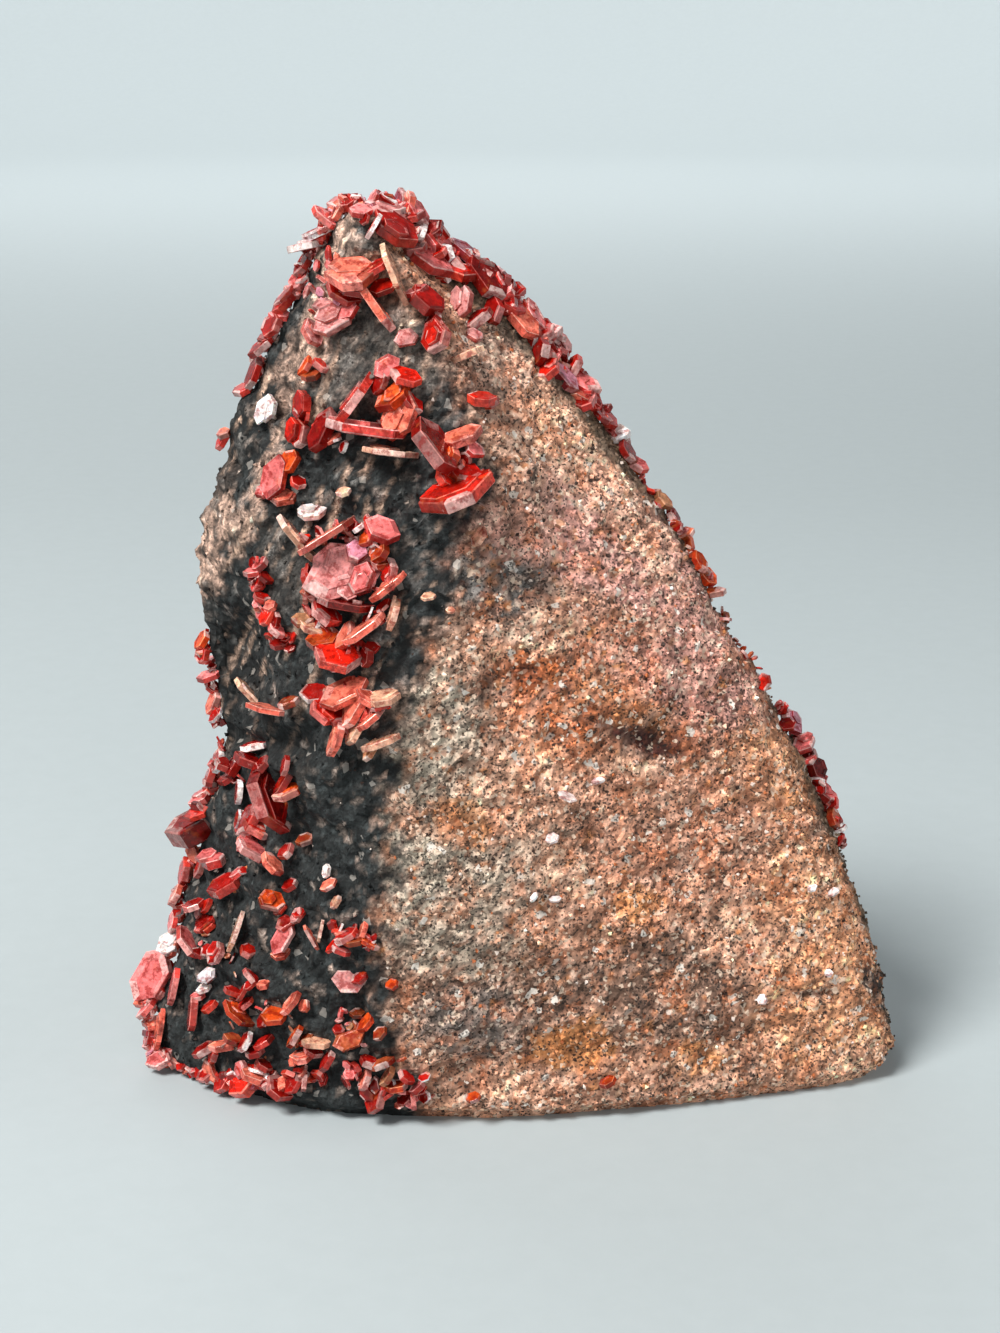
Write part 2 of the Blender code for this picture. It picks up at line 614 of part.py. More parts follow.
def apply_boolean(obj, operation, other):
    """Combine an object with another object, or with all objects of a collection."""
    modifier = obj.modifiers.new("combine", "BOOLEAN")
    modifier.operation = operation
    modifier.solver = "EXACT"
    if isinstance(other, bpy.types.Collection):
        modifier.operand_type = "COLLECTION"
        modifier.collection = other
    else:
        modifier.object = other
    bpy.context.view_layer.update()
    evaluated = obj.evaluated_get(bpy.context.evaluated_depsgraph_get())
    mesh = bpy.data.meshes.new_from_object(evaluated)
    obj.modifiers.clear()
    obj.data = mesh


def joined_solid(name, pieces, cutters):
    """One closed solid from overlapping pieces."""
    group = bpy.data.collections.new(name + "_pieces")
    cutters.children.link(group)
    solid = mesh_object(name, pieces[0], cutters)
    for index, piece in enumerate(pieces[1:]):
        mesh_object(f"{name}_piece_{index}", piece, group)
    if len(pieces) > 1:
        apply_boolean(solid, "UNION", group)
    for obj in list(group.objects):
        bpy.data.objects.remove(obj, do_unlink=True)
    bpy.data.collections.remove(group)
    return solid


def keep_main_body(obj):
    """Drop slivers that the cut along the rock leaves loose."""
    bm = bmesh.new()
    bm.from_mesh(obj.data)
    bodies = []
    unseen = set(bm.verts)
    while unseen:
        body = set()
        edge_of_body = [unseen.pop()]
        while edge_of_body:
            vert = edge_of_body.pop()
            body.add(vert)
            for edge in vert.link_edges:
                other = edge.other_vert(vert)
                if other in unseen:
                    unseen.remove(other)
                    edge_of_body.append(other)
        bodies.append(body)
    bodies.sort(key=len)
    for body in bodies[:-1]:
        bmesh.ops.delete(bm, geom=list(body), context="VERTS")
    bm.to_mesh(obj.data)
    bm.free()


def build_cluster(name, entries, sight, rock_tree, clearance, cutters):
    """Tablets that have grown into one another, cut clear of the rock."""
    tablets = [tablet_mesh(sight, rock_tree, entry) for entry in entries]
    tablets = join_by_links(rock_tree, tablets)
    solid = joined_solid(name, tablets, cutters)
    apply_boolean(solid, "DIFFERENCE", clearance)
    keep_main_body(solid)
    return solid


# ---------------------------------------------------------------------------------------- assembly

ROCK_COLOUR = (0.24, 0.15, 0.11)
ROCK_ROUGHNESS = 0.9
CRYSTAL_ROUGHNESS = 0.25
CRYSTAL_COLOURS = {
    "pale": (0.75, 0.60, 0.52),
    "red": (0.55, 0.05, 0.03),
}
PALE_CLUSTERS = ("pale_hexagon", "cream_bar", "white_plate", "white_chip", "ledge_cream_bar",
                 "thin_bar", "pale_disc", "grey_hexagon")


def to_metres(obj):
    """Scale a finished piece's mesh from millimetres."""
    obj.data.transform(Matrix.Scale(MM, 4))


def main():
    clear_scene()
    specimen = new_collection("vanadinite_on_matrix")
    cutters = new_collection("cutters")
    rock = build_rock()
    rock_tree = BVHTree.FromBMesh(rock)
    clearance = mesh_object("clearance_shell", swollen_copy(rock, CRYSTAL_GAP), cutters)
    matrix = mesh_object("matrix", rock, specimen)
    matrix.data.materials.append(principled("matrix_rock", ROCK_COLOUR, ROCK_ROUGHNESS))
    to_metres(matrix)
    materials = {
        name: principled(f"vanadinite_{name}", colour, CRYSTAL_ROUGHNESS)
        for name, colour in CRYSTAL_COLOURS.items()
    }
    for side, clusters in ((1, CLUSTERS), (-1, BACK_CLUSTERS)):
        sight = Sight(side)
        for name, entries in clusters.items():
            solid = build_cluster(name, entries, sight, rock_tree, clearance, cutters)
            solid.data.materials.clear()
            solid.data.materials.append(materials["pale" if name in PALE_CLUSTERS else "red"])
            to_metres(solid)
            cutters.objects.unlink(solid)
            specimen.objects.link(solid)
    bpy.data.objects.remove(clearance, do_unlink=True)


main()
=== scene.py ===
import json
import math
import random

import bmesh
import bpy
import numpy as np
from mathutils import Matrix, Vector, noise
from mathutils.bvhtree import BVHTree

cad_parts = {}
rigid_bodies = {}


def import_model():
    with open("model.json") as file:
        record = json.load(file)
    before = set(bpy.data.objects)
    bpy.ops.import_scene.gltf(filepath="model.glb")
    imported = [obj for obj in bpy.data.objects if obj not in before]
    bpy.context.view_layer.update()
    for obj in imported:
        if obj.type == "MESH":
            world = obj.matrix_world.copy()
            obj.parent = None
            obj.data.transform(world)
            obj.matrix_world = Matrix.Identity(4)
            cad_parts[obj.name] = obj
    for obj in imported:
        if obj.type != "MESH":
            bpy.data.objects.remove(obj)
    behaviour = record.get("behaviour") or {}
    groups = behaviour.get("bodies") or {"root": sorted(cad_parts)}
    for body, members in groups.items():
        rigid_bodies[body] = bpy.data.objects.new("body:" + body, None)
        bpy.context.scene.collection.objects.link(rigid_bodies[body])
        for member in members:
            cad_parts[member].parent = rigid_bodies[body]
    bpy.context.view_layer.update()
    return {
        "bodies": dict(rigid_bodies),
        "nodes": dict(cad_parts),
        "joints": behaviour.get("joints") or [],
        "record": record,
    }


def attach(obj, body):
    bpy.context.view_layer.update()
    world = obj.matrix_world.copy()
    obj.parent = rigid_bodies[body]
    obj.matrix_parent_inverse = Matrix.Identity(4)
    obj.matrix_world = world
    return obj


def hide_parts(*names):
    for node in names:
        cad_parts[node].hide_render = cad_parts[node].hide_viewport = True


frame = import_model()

# Vanadinite on matrix: a block of ore-bearing rock, grown over with six-sided red tablets.
#
# Shapes are made in millimetres, and each finished mesh is scaled by MM to the frame's metres.

MM = 0.001


# --------------------------------------------------------------------------------------- the sight
#
# Places are written as (across, up) in a picture plane through SIGHT_CENTRE, square to the line
# from the viewer's eye, as in the solid model.

SIGHT_CENTRE = Vector((0.0, 0.0, 42.5))
SIGHT_DISTANCE = 220.0
SIGHT_TILT = math.radians(18.0)         # how far the viewer looks down


class Sight:
    """A viewer's eye and picture plane, on the front (side 1) or behind (side -1)."""

    def __init__(self, side):
        self.towards = Vector((0.0, -side * math.cos(SIGHT_TILT), math.sin(SIGHT_TILT)))
        self.across = Vector((side, 0.0, 0.0))
        self.up = Vector((0.0, side * math.sin(SIGHT_TILT), math.cos(SIGHT_TILT)))
        self.eye = SIGHT_CENTRE + SIGHT_DISTANCE * self.towards

    def line(self, across, up):
        """The direction from the eye through a place of the picture plane."""
        place = SIGHT_CENTRE + across * self.across + up * self.up
        return (place - self.eye).normalized()

    def picture(self, place):
        """Where a world place is seen: (across, up) in the picture plane."""
        offset = place - SIGHT_CENTRE
        scale = (SIGHT_DISTANCE - offset.dot(self.towards)) / SIGHT_DISTANCE
        return offset.dot(self.across) / scale, offset.dot(self.up) / scale


FRONT = Sight(1)
BACK = Sight(-1)


def mix(a, b, share):
    return a + (b - a) * share


def smooth_step(low, high, value):
    share = min(max((value - low) / (high - low), 0.0), 1.0)
    return share * share * (3.0 - 2.0 * share)


def curve_at(points, where):
    """Read a curve of (position, value) points at one position, straight between its points."""
    points = sorted(points)
    if where <= points[0][0]:
        return points[0][1]
    for (low, low_value), (high, high_value) in zip(points, points[1:]):
        if where <= high:
            return mix(low_value, high_value, (where - low) / (high - low))
    return points[-1][1]


def linear(red, green, blue):
    """A colour written in screen values 0-255, as linear light."""
    return tuple((v / 255 / 12.92) if v <= 10 else ((v / 255 + 0.055) / 1.055) ** 2.4
                 for v in (red, green, blue))


# --------------------------------------------------------------------------------- the rock's skin
#
# The front of the rock has a dark face, coated with crystals, on the left of the ridge and a
# broken red-brown face on the right of it.

ROCK_VOXEL = 0.46 * MM
FOOT_KEEP = 0.5                         # skin this near the flat foot is left alone
FOOT_SLOPE = -0.6                       # and faces down at least this squarely
FOOT_FADE = 3.0                         # the relief grows to its full height within this height
FOOT_RELIEF = 0.35                      # share of the relief at the foot
FORM_FLOOR = 0.01                       # a dent or swelling counts where its share is above this

# The ridge between the two faces and the right edge of the broken one: (up, across)
RIDGE_LINE = [(-45, -7), (-40, -9), (-33, -11.2), (-18, -10.6), (-5, -9.2), (5, -5.4), (15, -2.2),
              (22, -0.6), (27, -3.2), (34, -6), (44, -12.4)]
RIM_LINE = [(-42, 40), (-36, 39), (-30, 38), (-20, 34.2), (-10, 29.8), (-4, 27.2), (2, 24.1), (5, 22),
            (8, 20.3), (11, 18.6), (14.4, 16.5), (19, 12.5), (21.5, 10), (26, 7.2), (30, 3.4),
            (34, -0.5), (38, -5), (41, -8), (45, -11)]

# Dents and swellings of the front: (across, up, half width, half height, turn, outward mm)
FRONT_FORMS = [
    (-27.2, 1.0, 2.6, 5.0, 10, -1.6), (-24.5, -7.6, 5.5, 1.1, -10, -1.3), (-20.0, -6.6, 3.0, 0.9, 5, -0.7),
    (-13.5, 33.0, 1.4, 6.0, 25, -0.5), (-5.5, 28.6, 3.5, 1.6, 20, 0.5), (1.5, 16.0, 0.7, 2.6, 4, -0.7),
    (2.8, 17.8, 1.6, 2.2, 10, 0.5), (0.5, 8.2, 4.6, 1.6, -8, -0.6), (3.0, 5.2, 5.0, 1.0, -14, 0.5),
    (-1.0, 3.0, 4.5, 1.4, 12, 0.3), (14.5, -7.2, 2.4, 1.1, 0, -0.5), (31.5, -32.8, 2.8, 0.5, 8, -0.6),
    (38.6, -32.0, 1.4, 3.4, 10, -0.5), (8.5, -38.6, 3.2, 1.6, 5, -0.4), (-3.0, -41.0, 2.4, 1.8, 0, -0.9),
    (22.0, -30.0, 6.0, 1.0, -20, 0.35), (12.0, -20.0, 7.0, 1.2, -25, -0.3), (20.0, 3.0, 6.0, 1.0, -30, 0.3),
    (5.0, -12.0, 7.0, 1.0, -28, 0.3), (0.0, -30.0, 5.0, 1.2, -15, -0.35), (27.0, -15.0, 5.0, 1.0, -35, -0.3),
    (-22.5, 22.0, 1.6, 5.0, 30, 0.7), (-26.0, 14.0, 2.0, 4.0, 20, 0.6), (-19.0, 2.0, 1.4, 4.0, 5, -0.5),
    (-6.0, 11.5, 4.0, 3.0, 10, -0.5), (-15.0, 18.0, 5.0, 2.0, 5, 0.5),
]

RIDGE_BLEND = 2.0                       # half the width in which one face turns into the other
BACK_BROKEN = 0.4                       # how far the back's relief is that of the broken face

# Relief: (size of the form in mm, its height on the coated face, its height on the broken one)
CRAG_SIZES = ((5.6, 0.62, 0.34), (2.6, 0.42, 0.30), (1.4, 0.20, 0.26))
GRAIN_SIZES = ((1.1, 0.20, 0.30), (0.62, 0.20, 0.30))
GROOVE = 0.30                           # width of the grooves between crags, as a share of their size
CRAG_LEVEL = 0.6                        # how much whole crags differ in height, against their slopes
CRAG_SLOPE = 0.7                        # how fast those slopes change within a crag
CRAG_SHUFFLE = 3.7                      # and what keeps neighbours' heights apart
STRATA_HEIGHT = 0.55
STRATA_DIP = 0.08
STRATA_CHANGE = (0.20, 0.1, 0.34)       # how fast the layers change along x, y and z
STRATA_SCALE = 1.6
FRONT_RELIEF = (-0.1, 0.35)             # how squarely a place faces the viewer: from none to all of it
RIDGE_WANDER = 1.2                      # how far noise moves the ridge, and the size of that noise
RIDGE_SIZE = 3.0


def oval_share(across, up, oval):
    """1 in the middle of an oval (across, up, half width, half height, turn), falling to 0."""
    turn = math.radians(oval[4])
    along = (across - oval[0]) * math.cos(turn) + (up - oval[1]) * math.sin(turn)
    aside = (up - oval[1]) * math.cos(turn) - (across - oval[0]) * math.sin(turn)
    return math.exp(-((along / oval[2]) ** 2 + (aside / oval[3]) ** 2))


def right_of_ridge(across, up, wobble):
    """0 on the crystal-coated left face, 1 on the broken right face."""
    return smooth_step(-RIDGE_BLEND, RIDGE_BLEND, across - curve_at(RIDGE_LINE, up) + wobble)


def remeshed_rock():
    """The solid rock as an even, fine mesh, in millimetres."""
    blank = bpy.data.objects.new("blank", frame["nodes"]["matrix"].data.copy())
    bpy.context.scene.collection.objects.link(blank)
    remesh = blank.modifiers.new("even", "REMESH")
    remesh.mode = "VOXEL"
    remesh.voxel_size = ROCK_VOXEL
    bpy.context.view_layer.update()
    even = bpy.data.meshes.new_from_object(blank.evaluated_get(bpy.context.evaluated_depsgraph_get()))
    bpy.data.objects.remove(blank)
    even.materials.clear()
    even.transform(Matrix.Scale(1 / MM, 4))
    return bpy.data.objects.new("rock", even)


def crag_height(place, size):
    """Flat-sided swellings, as on broken rock: height differs from one cell to the next."""
    distances, points = noise.voronoi(place / size)
    cell = points[0]
    gap = distances[1] - distances[0]
    slope = noise.noise(place / size * CRAG_SLOPE + cell)
    return (CRAG_LEVEL * noise.cell(cell * CRAG_SHUFFLE) + slope) * smooth_step(0.0, GROOVE, gap)


def strata_height(place):
    """Level banding, stretched along the layers of the rock."""
    x, y, z = (change * value for change, value in zip(STRATA_CHANGE, place))
    return STRATA_HEIGHT * noise.noise(STRATA_SCALE * Vector((x + STRATA_DIP * place.z, y, z)))


def skin_height(place, normal):
    """How far the rock's skin stands out at a place, in mm."""
    across, up = FRONT.picture(place)
    front = smooth_step(*FRONT_RELIEF, normal.dot(FRONT.towards))
    broken = BACK_BROKEN
    if front > 0.5:
        broken = right_of_ridge(across, up, RIDGE_WANDER * noise.noise(place / RIDGE_SIZE))
    height = (1.0 - broken) * strata_height(place)
    for size, coated_height, broken_height in CRAG_SIZES:
        shift = Vector((size, 1.0, 3.0))
        height += mix(coated_height, broken_height, broken) * crag_height(place + shift, size)
    for size, coated_height, broken_height in GRAIN_SIZES:
        shift = Vector((3.0, size, 1.0))
        height += mix(coated_height, broken_height, broken) * noise.noise(place / size + shift)
    if front > 0.0:
        for form in FRONT_FORMS:
            share = oval_share(across, up, form)
            if share > FORM_FLOOR:
                height += front * form[5] * share
    return height


def build_rock_skin():
    """The rock with its relief, in millimetres: flat below, raised along its normals elsewhere."""
    rock = remeshed_rock()
    mesh = rock.data
    moved = []
    for vert in mesh.vertices:
        place, normal = vert.co, vert.normal
        if place.z < FOOT_KEEP and normal.z < FOOT_SLOPE:
            moved.append((place.x, place.y, 0.0))
            continue
        relief = mix(FOOT_RELIEF, 1.0, smooth_step(0.0, FOOT_FADE, place.z))
        new = place + normal * skin_height(place, normal) * relief
        moved.append((new.x, new.y, max(new.z, 0.0)))
    mesh.vertices.foreach_set("co", np.array(moved, np.float32).ravel())
    mesh.update()
    return rock


# ------------------------------------------------------------------------------- the rock's colours

CHARCOAL = linear(35, 38, 38)
SOFT_BLACK = linear(20, 22, 22)
GREY_BROWN = linear(82, 75, 69)
TAN = linear(180, 148, 130)
OLIVE_TAN = linear(168, 124, 100)
SALMON_TAN = linear(232, 178, 148)
MAUVE_BROWN = linear(200, 148, 136)
PEACH = linear(246, 190, 158)
RED_BROWN = linear(182, 120, 94)
DARK_RED = linear(66, 32, 27)
CREAM_GREY = linear(168, 155, 138)
ORANGE_TAN = linear(230, 164, 122)
OCHRE = linear(192, 128, 80)
DARK_GRAIN = linear(82, 70, 62)
FACE_BROWN = linear(184, 134, 108)
CRUST_OLIVE = linear(58, 56, 44)
PALE_GREY = linear(176, 174, 168)
BLOTCH_BROWN = linear(98, 64, 50)
PALE_PINK = linear(228, 186, 164)
RUST = linear(196, 112, 66)
RUST_DEEP = linear(118, 60, 40)
WORN_GREY = linear(112, 108, 104)
STREAK_TAN = linear(172, 142, 122)

# Patches of the broken face: (across, up, half width, half height, turn, colour, strength)
FACE_PATCHES = [
    (3.0, 22.0, 9.0, 7.5, -35, SALMON_TAN, 0.75), (-3.5, 28.0, 4.5, 5.5, 10, OLIVE_TAN, 0.9),
    (0.5, 30.4, 3.8, 3.6, -30, TAN, 0.85), (8.0, 20.0, 5.0, 4.0, -45, PEACH, 0.55),
    (13.0, 11.5, 9.5, 7.0, -40, MAUVE_BROWN, 0.95), (1.0, 12.0, 5.0, 5.5, 0, MAUVE_BROWN, 0.55),
    (-1.5, 8.4, 6.5, 2.8, -6, WORN_GREY, 0.85), (0.5, 2.4, 5.5, 2.0, 8, PEACH, 0.8),
    (9.0, 4.0, 6.0, 3.0, -15, SALMON_TAN, 0.5), (16.0, -2.5, 10.0, 5.5, -30, RED_BROWN, 0.9),
    (6.0, -3.0, 7.0, 3.0, -10, RED_BROWN, 0.75), (2.5, -0.6, 2.4, 1.2, 0, RUST_DEEP, 0.60),
    (14.5, -7.3, 3.3, 1.7, 0, DARK_RED, 0.98), (9.5, -7.0, 2.6, 1.6, 20, RUST_DEEP, 0.70),
    (17.5, -2.8, 2.4, 1.2, -30, RUST_DEEP, 0.45), (12.0, -4.0, 4.5, 2.2, -20, OCHRE, 0.45),
    (26.5, -10.5, 5.5, 3.6, -40, ORANGE_TAN, 0.75), (12.0, -12.5, 9.0, 3.5, -15, SALMON_TAN, 0.55),
    (-6.5, -7.5, 3.6, 7.0, -6, CREAM_GREY, 0.85), (-7.0, -17.5, 5.0, 9.5, -4, CREAM_GREY, 0.95),
    (0.0, -15.0, 5.0, 5.0, 0, SALMON_TAN, 0.45), (-4.8, -15.6, 1.4, 2.4, 10, OCHRE, 0.7),
    (3.0, -19.0, 5.0, 2.4, 20, CREAM_GREY, 0.5), (7.0, -21.0, 4.0, 2.0, -30, PEACH, 0.5),
    (14.0, -23.9, 2.2, 1.5, 10, OCHRE, 0.7), (28.6, -12.9, 1.6, 0.9, 0, OCHRE, 0.7),
    (22.0, -20.0, 7.0, 4.0, -40, FACE_BROWN, 0.5), (-1.5, -30.0, 9.0, 8.5, 0, DARK_GRAIN, 0.52),
    (16.0, -32.0, 9.0, 5.6, 0, DARK_GRAIN, 0.58), (7.0, -38.4, 4.2, 2.0, 5, OCHRE, 0.85),
    (9.6, -37.2, 2.0, 1.8, 40, OCHRE, 0.7), (20.0, -39.4, 3.2, 1.3, 0, OCHRE, 0.7),
    (33.5, -33.0, 6.5, 8.5, -10, ORANGE_TAN, 0.8), (36.0, -41.0, 5.0, 2.4, 0, SALMON_TAN, 0.6),
    (38.6, -32.0, 1.6, 3.4, 8, CHARCOAL, 0.9), (30.5, -22.0, 4.0, 5.0, -20, ORANGE_TAN, 0.5),
    (24.0, -27.5, 4.0, 3.0, -30, PEACH, 0.45), (31.5, -32.6, 2.4, 0.5, 6, SOFT_BLACK, 0.8),
    (3.2, 18.3, 0.35, 1.6, 4, SOFT_BLACK, 0.85), (-9.0, -26.0, 2.2, 4.0, 0, CREAM_GREY, 0.4),
    (6.0, -26.0, 6.0, 2.6, -10, FACE_BROWN, 0.6), (1.2, 21.0, 2.6, 4.6, -10, GREY_BROWN, 0.35),
    (20.5, 8.0, 3.0, 6.0, 30, MAUVE_BROWN, 0.5), (23.5, -3.5, 2.0, 1.4, -30, CHARCOAL, 0.6),
    (20.5, -8.2, 1.5, 0.9, 0, CHARCOAL, 0.5), (18.4, 2.0, 1.2, 0.8, 0, CHARCOAL, 0.4),
    (-3.5, -23.5, 5.5, 7.0, 0, CREAM_GREY, 0.6), (-3.0, -35.5, 5.0, 3.0, 0, WORN_GREY, 0.6),
    (21.0, -0.5, 4.0, 6.0, 25, MAUVE_BROWN, 0.6), (15.5, -0.4, 4.0, 2.6, -10, MAUVE_BROWN, 0.4),
    (2.2, 3.2, 4.8, 1.6, 4, PEACH, 1.0), (6.2, -6.2, 4.6, 3.0, -20, RUST, 0.5),
    (2.6, -0.6, 2.6, 1.8, 0, RUST, 0.8), (2.2, 3.4, 3.6, 1.3, 4, PALE_PINK, 0.6),
    (15.0, -17.0, 8.0, 5.0, -25, RED_BROWN, 0.4), (23.0, -12.0, 5.0, 4.0, -40, RED_BROWN, 0.35),
    (-1.0, 29.5, 4.5, 4.5, -20, TAN, 0.6), (2.5, 18.0, 3.5, 4.5, 0, TAN, 0.35),
    (10.6, 18.8, 11.0, 2.8, -56, PEACH, 0.5), (-3.0, 1.5, 2.2, 4.5, 0, GREY_BROWN, 0.25),
]

# Solid spots of the broken face, written in the same way, over the fine blotches
FACE_SPOTS = [
    (14.7, -7.3, 2.5, 1.2, -5, DARK_RED, 0.78), (2.4, -0.9, 1.4, 0.9, 0, RUST_DEEP, 0.55),
    (9.4, -4.6, 1.6, 1.0, 20, RUST_DEEP, 0.45), (1.4, 8.4, 3.6, 1.1, -8, CHARCOAL, 0.22),
    (6.2, -38.2, 2.6, 1.5, 20, OCHRE, 0.55), (-2.4, -15.4, 1.1, 2.0, 10, OCHRE, 0.5),
    (13.8, -23.4, 1.8, 1.1, 10, OCHRE, 0.45),
]

# Patches of the dark face, written in the same way
COAT_PATCHES = [
    (-12.0, 31.5, 6.5, 5.5, 10, GREY_BROWN, 0.75), (-16.5, 38.0, 1.6, 7.0, -14, TAN, 0.8),
    (-19.5, 31.5, 1.3, 4.5, -12, TAN, 0.55), (-28.6, 13.5, 1.7, 7.0, -8, TAN, 0.70),
    (-25.4, 14.0, 1.2, 3.0, -20, TAN, 0.5), (-25.6, 23.0, 2.0, 6.0, -25, SOFT_BLACK, 0.8),
    (-23.6, 19.0, 0.7, 4.0, -20, TAN, 0.6), (-21.6, 29.0, 0.8, 4.0, -16, TAN, 0.5),
    (-13.0, 40.0, 3.5, 3.0, 0, GREY_BROWN, 0.6), (-29.8, -5.5, 1.2, 2.4, 0, TAN, 0.4),
    (-16.0, 12.0, 5.0, 7.0, 0, SOFT_BLACK, 0.35), (-26.6, 0.0, 3.6, 6.6, 8, SOFT_BLACK, 0.9),
    # The soft black band at (-24.0, -8.0) is painted shadow: the shade under the overhanging ledge
    (-24.0, -8.0, 5.5, 1.5, -8, SOFT_BLACK, 0.8), (-8.5, 18.0, 5.0, 3.0, 0, SOFT_BLACK, 0.4),
    (-4.4, -40.2, 1.3, 0.8, 0, PALE_GREY, 0.9), (-8.0, 33.0, 5.0, 6.0, -20, GREY_BROWN, 0.6),
    (-10.0, 38.5, 4.0, 2.4, -30, OLIVE_TAN, 0.4), (-18.5, -4.4, 4.0, 0.6, -6, GREY_BROWN, 0.5),
    (-8.0, -38.5, 4.0, 3.0, 0, GREY_BROWN, 0.35), (-22.0, 9.5, 2.0, 5.0, 10, GREY_BROWN, 0.3),
]

PATCH_WANDER = 1.1                      # how far the outlines of patches wander, in mm
PATCH_FRAY = 0.35                       # how much finer noise eats into their edges
PATCH_EDGE = (0.12, 0.44)               # an oval's share where a patch begins and where it is full
PATCH_GAIN = 1.15

# Noise that the colours read: (size in mm, where it is read, falling off, step in size, octaves)
FIELDS = {
    "ragged": (3.4, (0, 0, 0), 0.9, 2.2, 4),
    "wander": (3.4, (7, 7, 1), 0.9, 2.2, 4),
    "fine": (1.3, (4, 2, 9), 0.8, 2.2, 3),
    "blotch": (1.9, (2, 6, 5), 0.7, 2.3, 4),
    "rust": (2.7, (9, 3, 2), 0.8, 2.2, 3),
    "mottle": (2.6, (5, 1, 8), 0.9, 2.1, 3),
    "streak": (1.0, (0, 0, 2), 0.8, 2.2, 4),
}

# Tints: (colour, strength, field, value of the field where it begins and where it is full)
COAT_TINTS = ((SOFT_BLACK, 0.6, "smooth", 0.0, 0.6), (GREY_BROWN, 0.30, "fine", 0.2, 0.7))
FACE_TINTS = ((SALMON_TAN, 0.5, "ragged", 0.0, 0.6), (DARK_GRAIN, 0.55, "dark", 0.05, 0.6))
BACK_COAT_TINTS = ((GREY_BROWN, 0.5, "ragged", -0.1, 0.5),)
BACK_FACE_TINTS = ((ORANGE_TAN, 0.3, "fine", 0.0, 0.6),)
FACE_BLOTCHES = ((BLOTCH_BROWN, 0.52, "blotch", 0.12, 0.42), (PALE_PINK, 0.36, "clear", 0.12, 0.48),
                 (RUST, 0.38, "rust", 0.14, 0.46))
COAT_BLOTCHES = ((SOFT_BLACK, 0.75, "blotch", 0.05, 0.40),)
HIGH_COAT_TINTS = ((WORN_GREY, 0.40, "clear", 0.25, 0.60), (STREAK_TAN, 0.60, "streak", 0.28, 0.50))
HIGH_COAT = (-14.0, 6.0)                # the coat is worn and streaked above this
STREAK_SLANT = 0.33
STREAK_WIDTH = (0.95, 0.13)             # how fast the streaks change across and along

# Mottles of the back: (where the noise is read, size in mm, colour, strength)
BACK_MOTTLES = [
    (0.0, 9.0, DARK_GRAIN, 0.75), (4.0, 7.0, CREAM_GREY, 0.55), (8.0, 5.0, BLOTCH_BROWN, 0.60),
    (12.0, 6.0, ORANGE_TAN, 0.50), (16.0, 4.0, OCHRE, 0.45), (20.0, 8.0, MAUVE_BROWN, 0.50),
]

MOTTLE_NOISE = (0.8, 2.2, 4)            # falling off, step in size, octaves
MOTTLE_EDGE = (0.10, 0.34)              # the noise where a mottle begins and is full, broken face
COAT_MOTTLE_EDGE = (0.30, 0.60)         # and the same on the coated part
COAT_MOTTLES = 0.3                      # how strong the mottles are on the coated part

# Behind, the rock is broken below z = BACK_EDGE / BACK_EDGE_FALL, a line moved by waves of (size, height)
BACK_EDGE = 16.0
BACK_EDGE_FALL = 0.65
BACK_EDGE_WAVES = ((16.0, 9.0), (13.0, 10.0))
BACK_EDGE_FRAY = 7.0
BACK_EDGE_BLEND = 4.0

FRONT_BLEND = 0.15                      # how far the front's colours reach round the sides
FRONT_FRAY = 0.1
RIDGE_RAGGED = 2.4                      # how far noise moves the ridge between the faces, in mm
RIDGE_FINE = 1.4
RIM_BLEND = 0.5
RIM_FRAY = 0.5
RIM_STRENGTH = 0.85                     # how dark the crust on the right edge is
RIM_CALM = 0.6                          # and how much of the grain it covers
BACK_COAT_GRAIN = 0.35                  # how strong the grains are on the coat, behind and in front
FRONT_COAT_GRAIN = 0.25
DARK_FINE = 0.3
MOTTLE = 0.55                           # how strongly the broken face varies from spot to spot
SPECKLE = 0.24                          # how strongly neighbouring grains differ in brightness
COAT_SPECKLE = 0.30                     # and how much more they do on the coat
SPECKLE_SEED = 3
BRIGHTEST = 0.9


def tint(colour, other, share):
    return tuple(mix(a, b, share) for a, b in zip(colour, other))


def tinted(colour, tints, fields, weight=1.0):
    """A colour with tints laid over it, each as strong as its field of noise says."""
    for other, strength, name, low, high in tints:
        colour = tint(colour, other, weight * strength * smooth_step(low, high, fields[name]))
    return colour


def patched(colour, patches, across, up, fray):
    """A colour with oval patches laid over it, whose edges are broken up by noise."""
    for patch in patches:
        share = smooth_step(*PATCH_EDGE, oval_share(across, up, patch) + fray)
        colour = tint(colour, patch[5], min(PATCH_GAIN * patch[6], 1.0) * share)
    return colour


def read_field(name, place):
    size, shift, falling, step, octaves = FIELDS[name]
    return noise.fractal(place / size + Vector(shift), falling, step, octaves)


def back_colour(place, coat, face, fields):
    """The rock's colour behind, and how much of it is broken."""
    waves = sum(height * noise.noise(place / size) for size, height in BACK_EDGE_WAVES)
    below = BACK_EDGE - BACK_EDGE_FALL * place.z + waves + BACK_EDGE_FRAY * fields["ragged"]
    broken = smooth_step(-BACK_EDGE_BLEND, BACK_EDGE_BLEND, below)
    coat = tinted(coat, BACK_COAT_TINTS, fields)
    face = tinted(face, BACK_FACE_TINTS, fields)
    for shift, size, colour, strength in BACK_MOTTLES:
        mottle = noise.fractal(place / size + Vector((shift, 1.0, 5.0)), *MOTTLE_NOISE)
        face = tint(face, colour, strength * smooth_step(*MOTTLE_EDGE, mottle))
        coat = tint(coat, colour, COAT_MOTTLES * strength * smooth_step(*COAT_MOTTLE_EDGE, mottle))
    return tint(coat, face, broken), broken


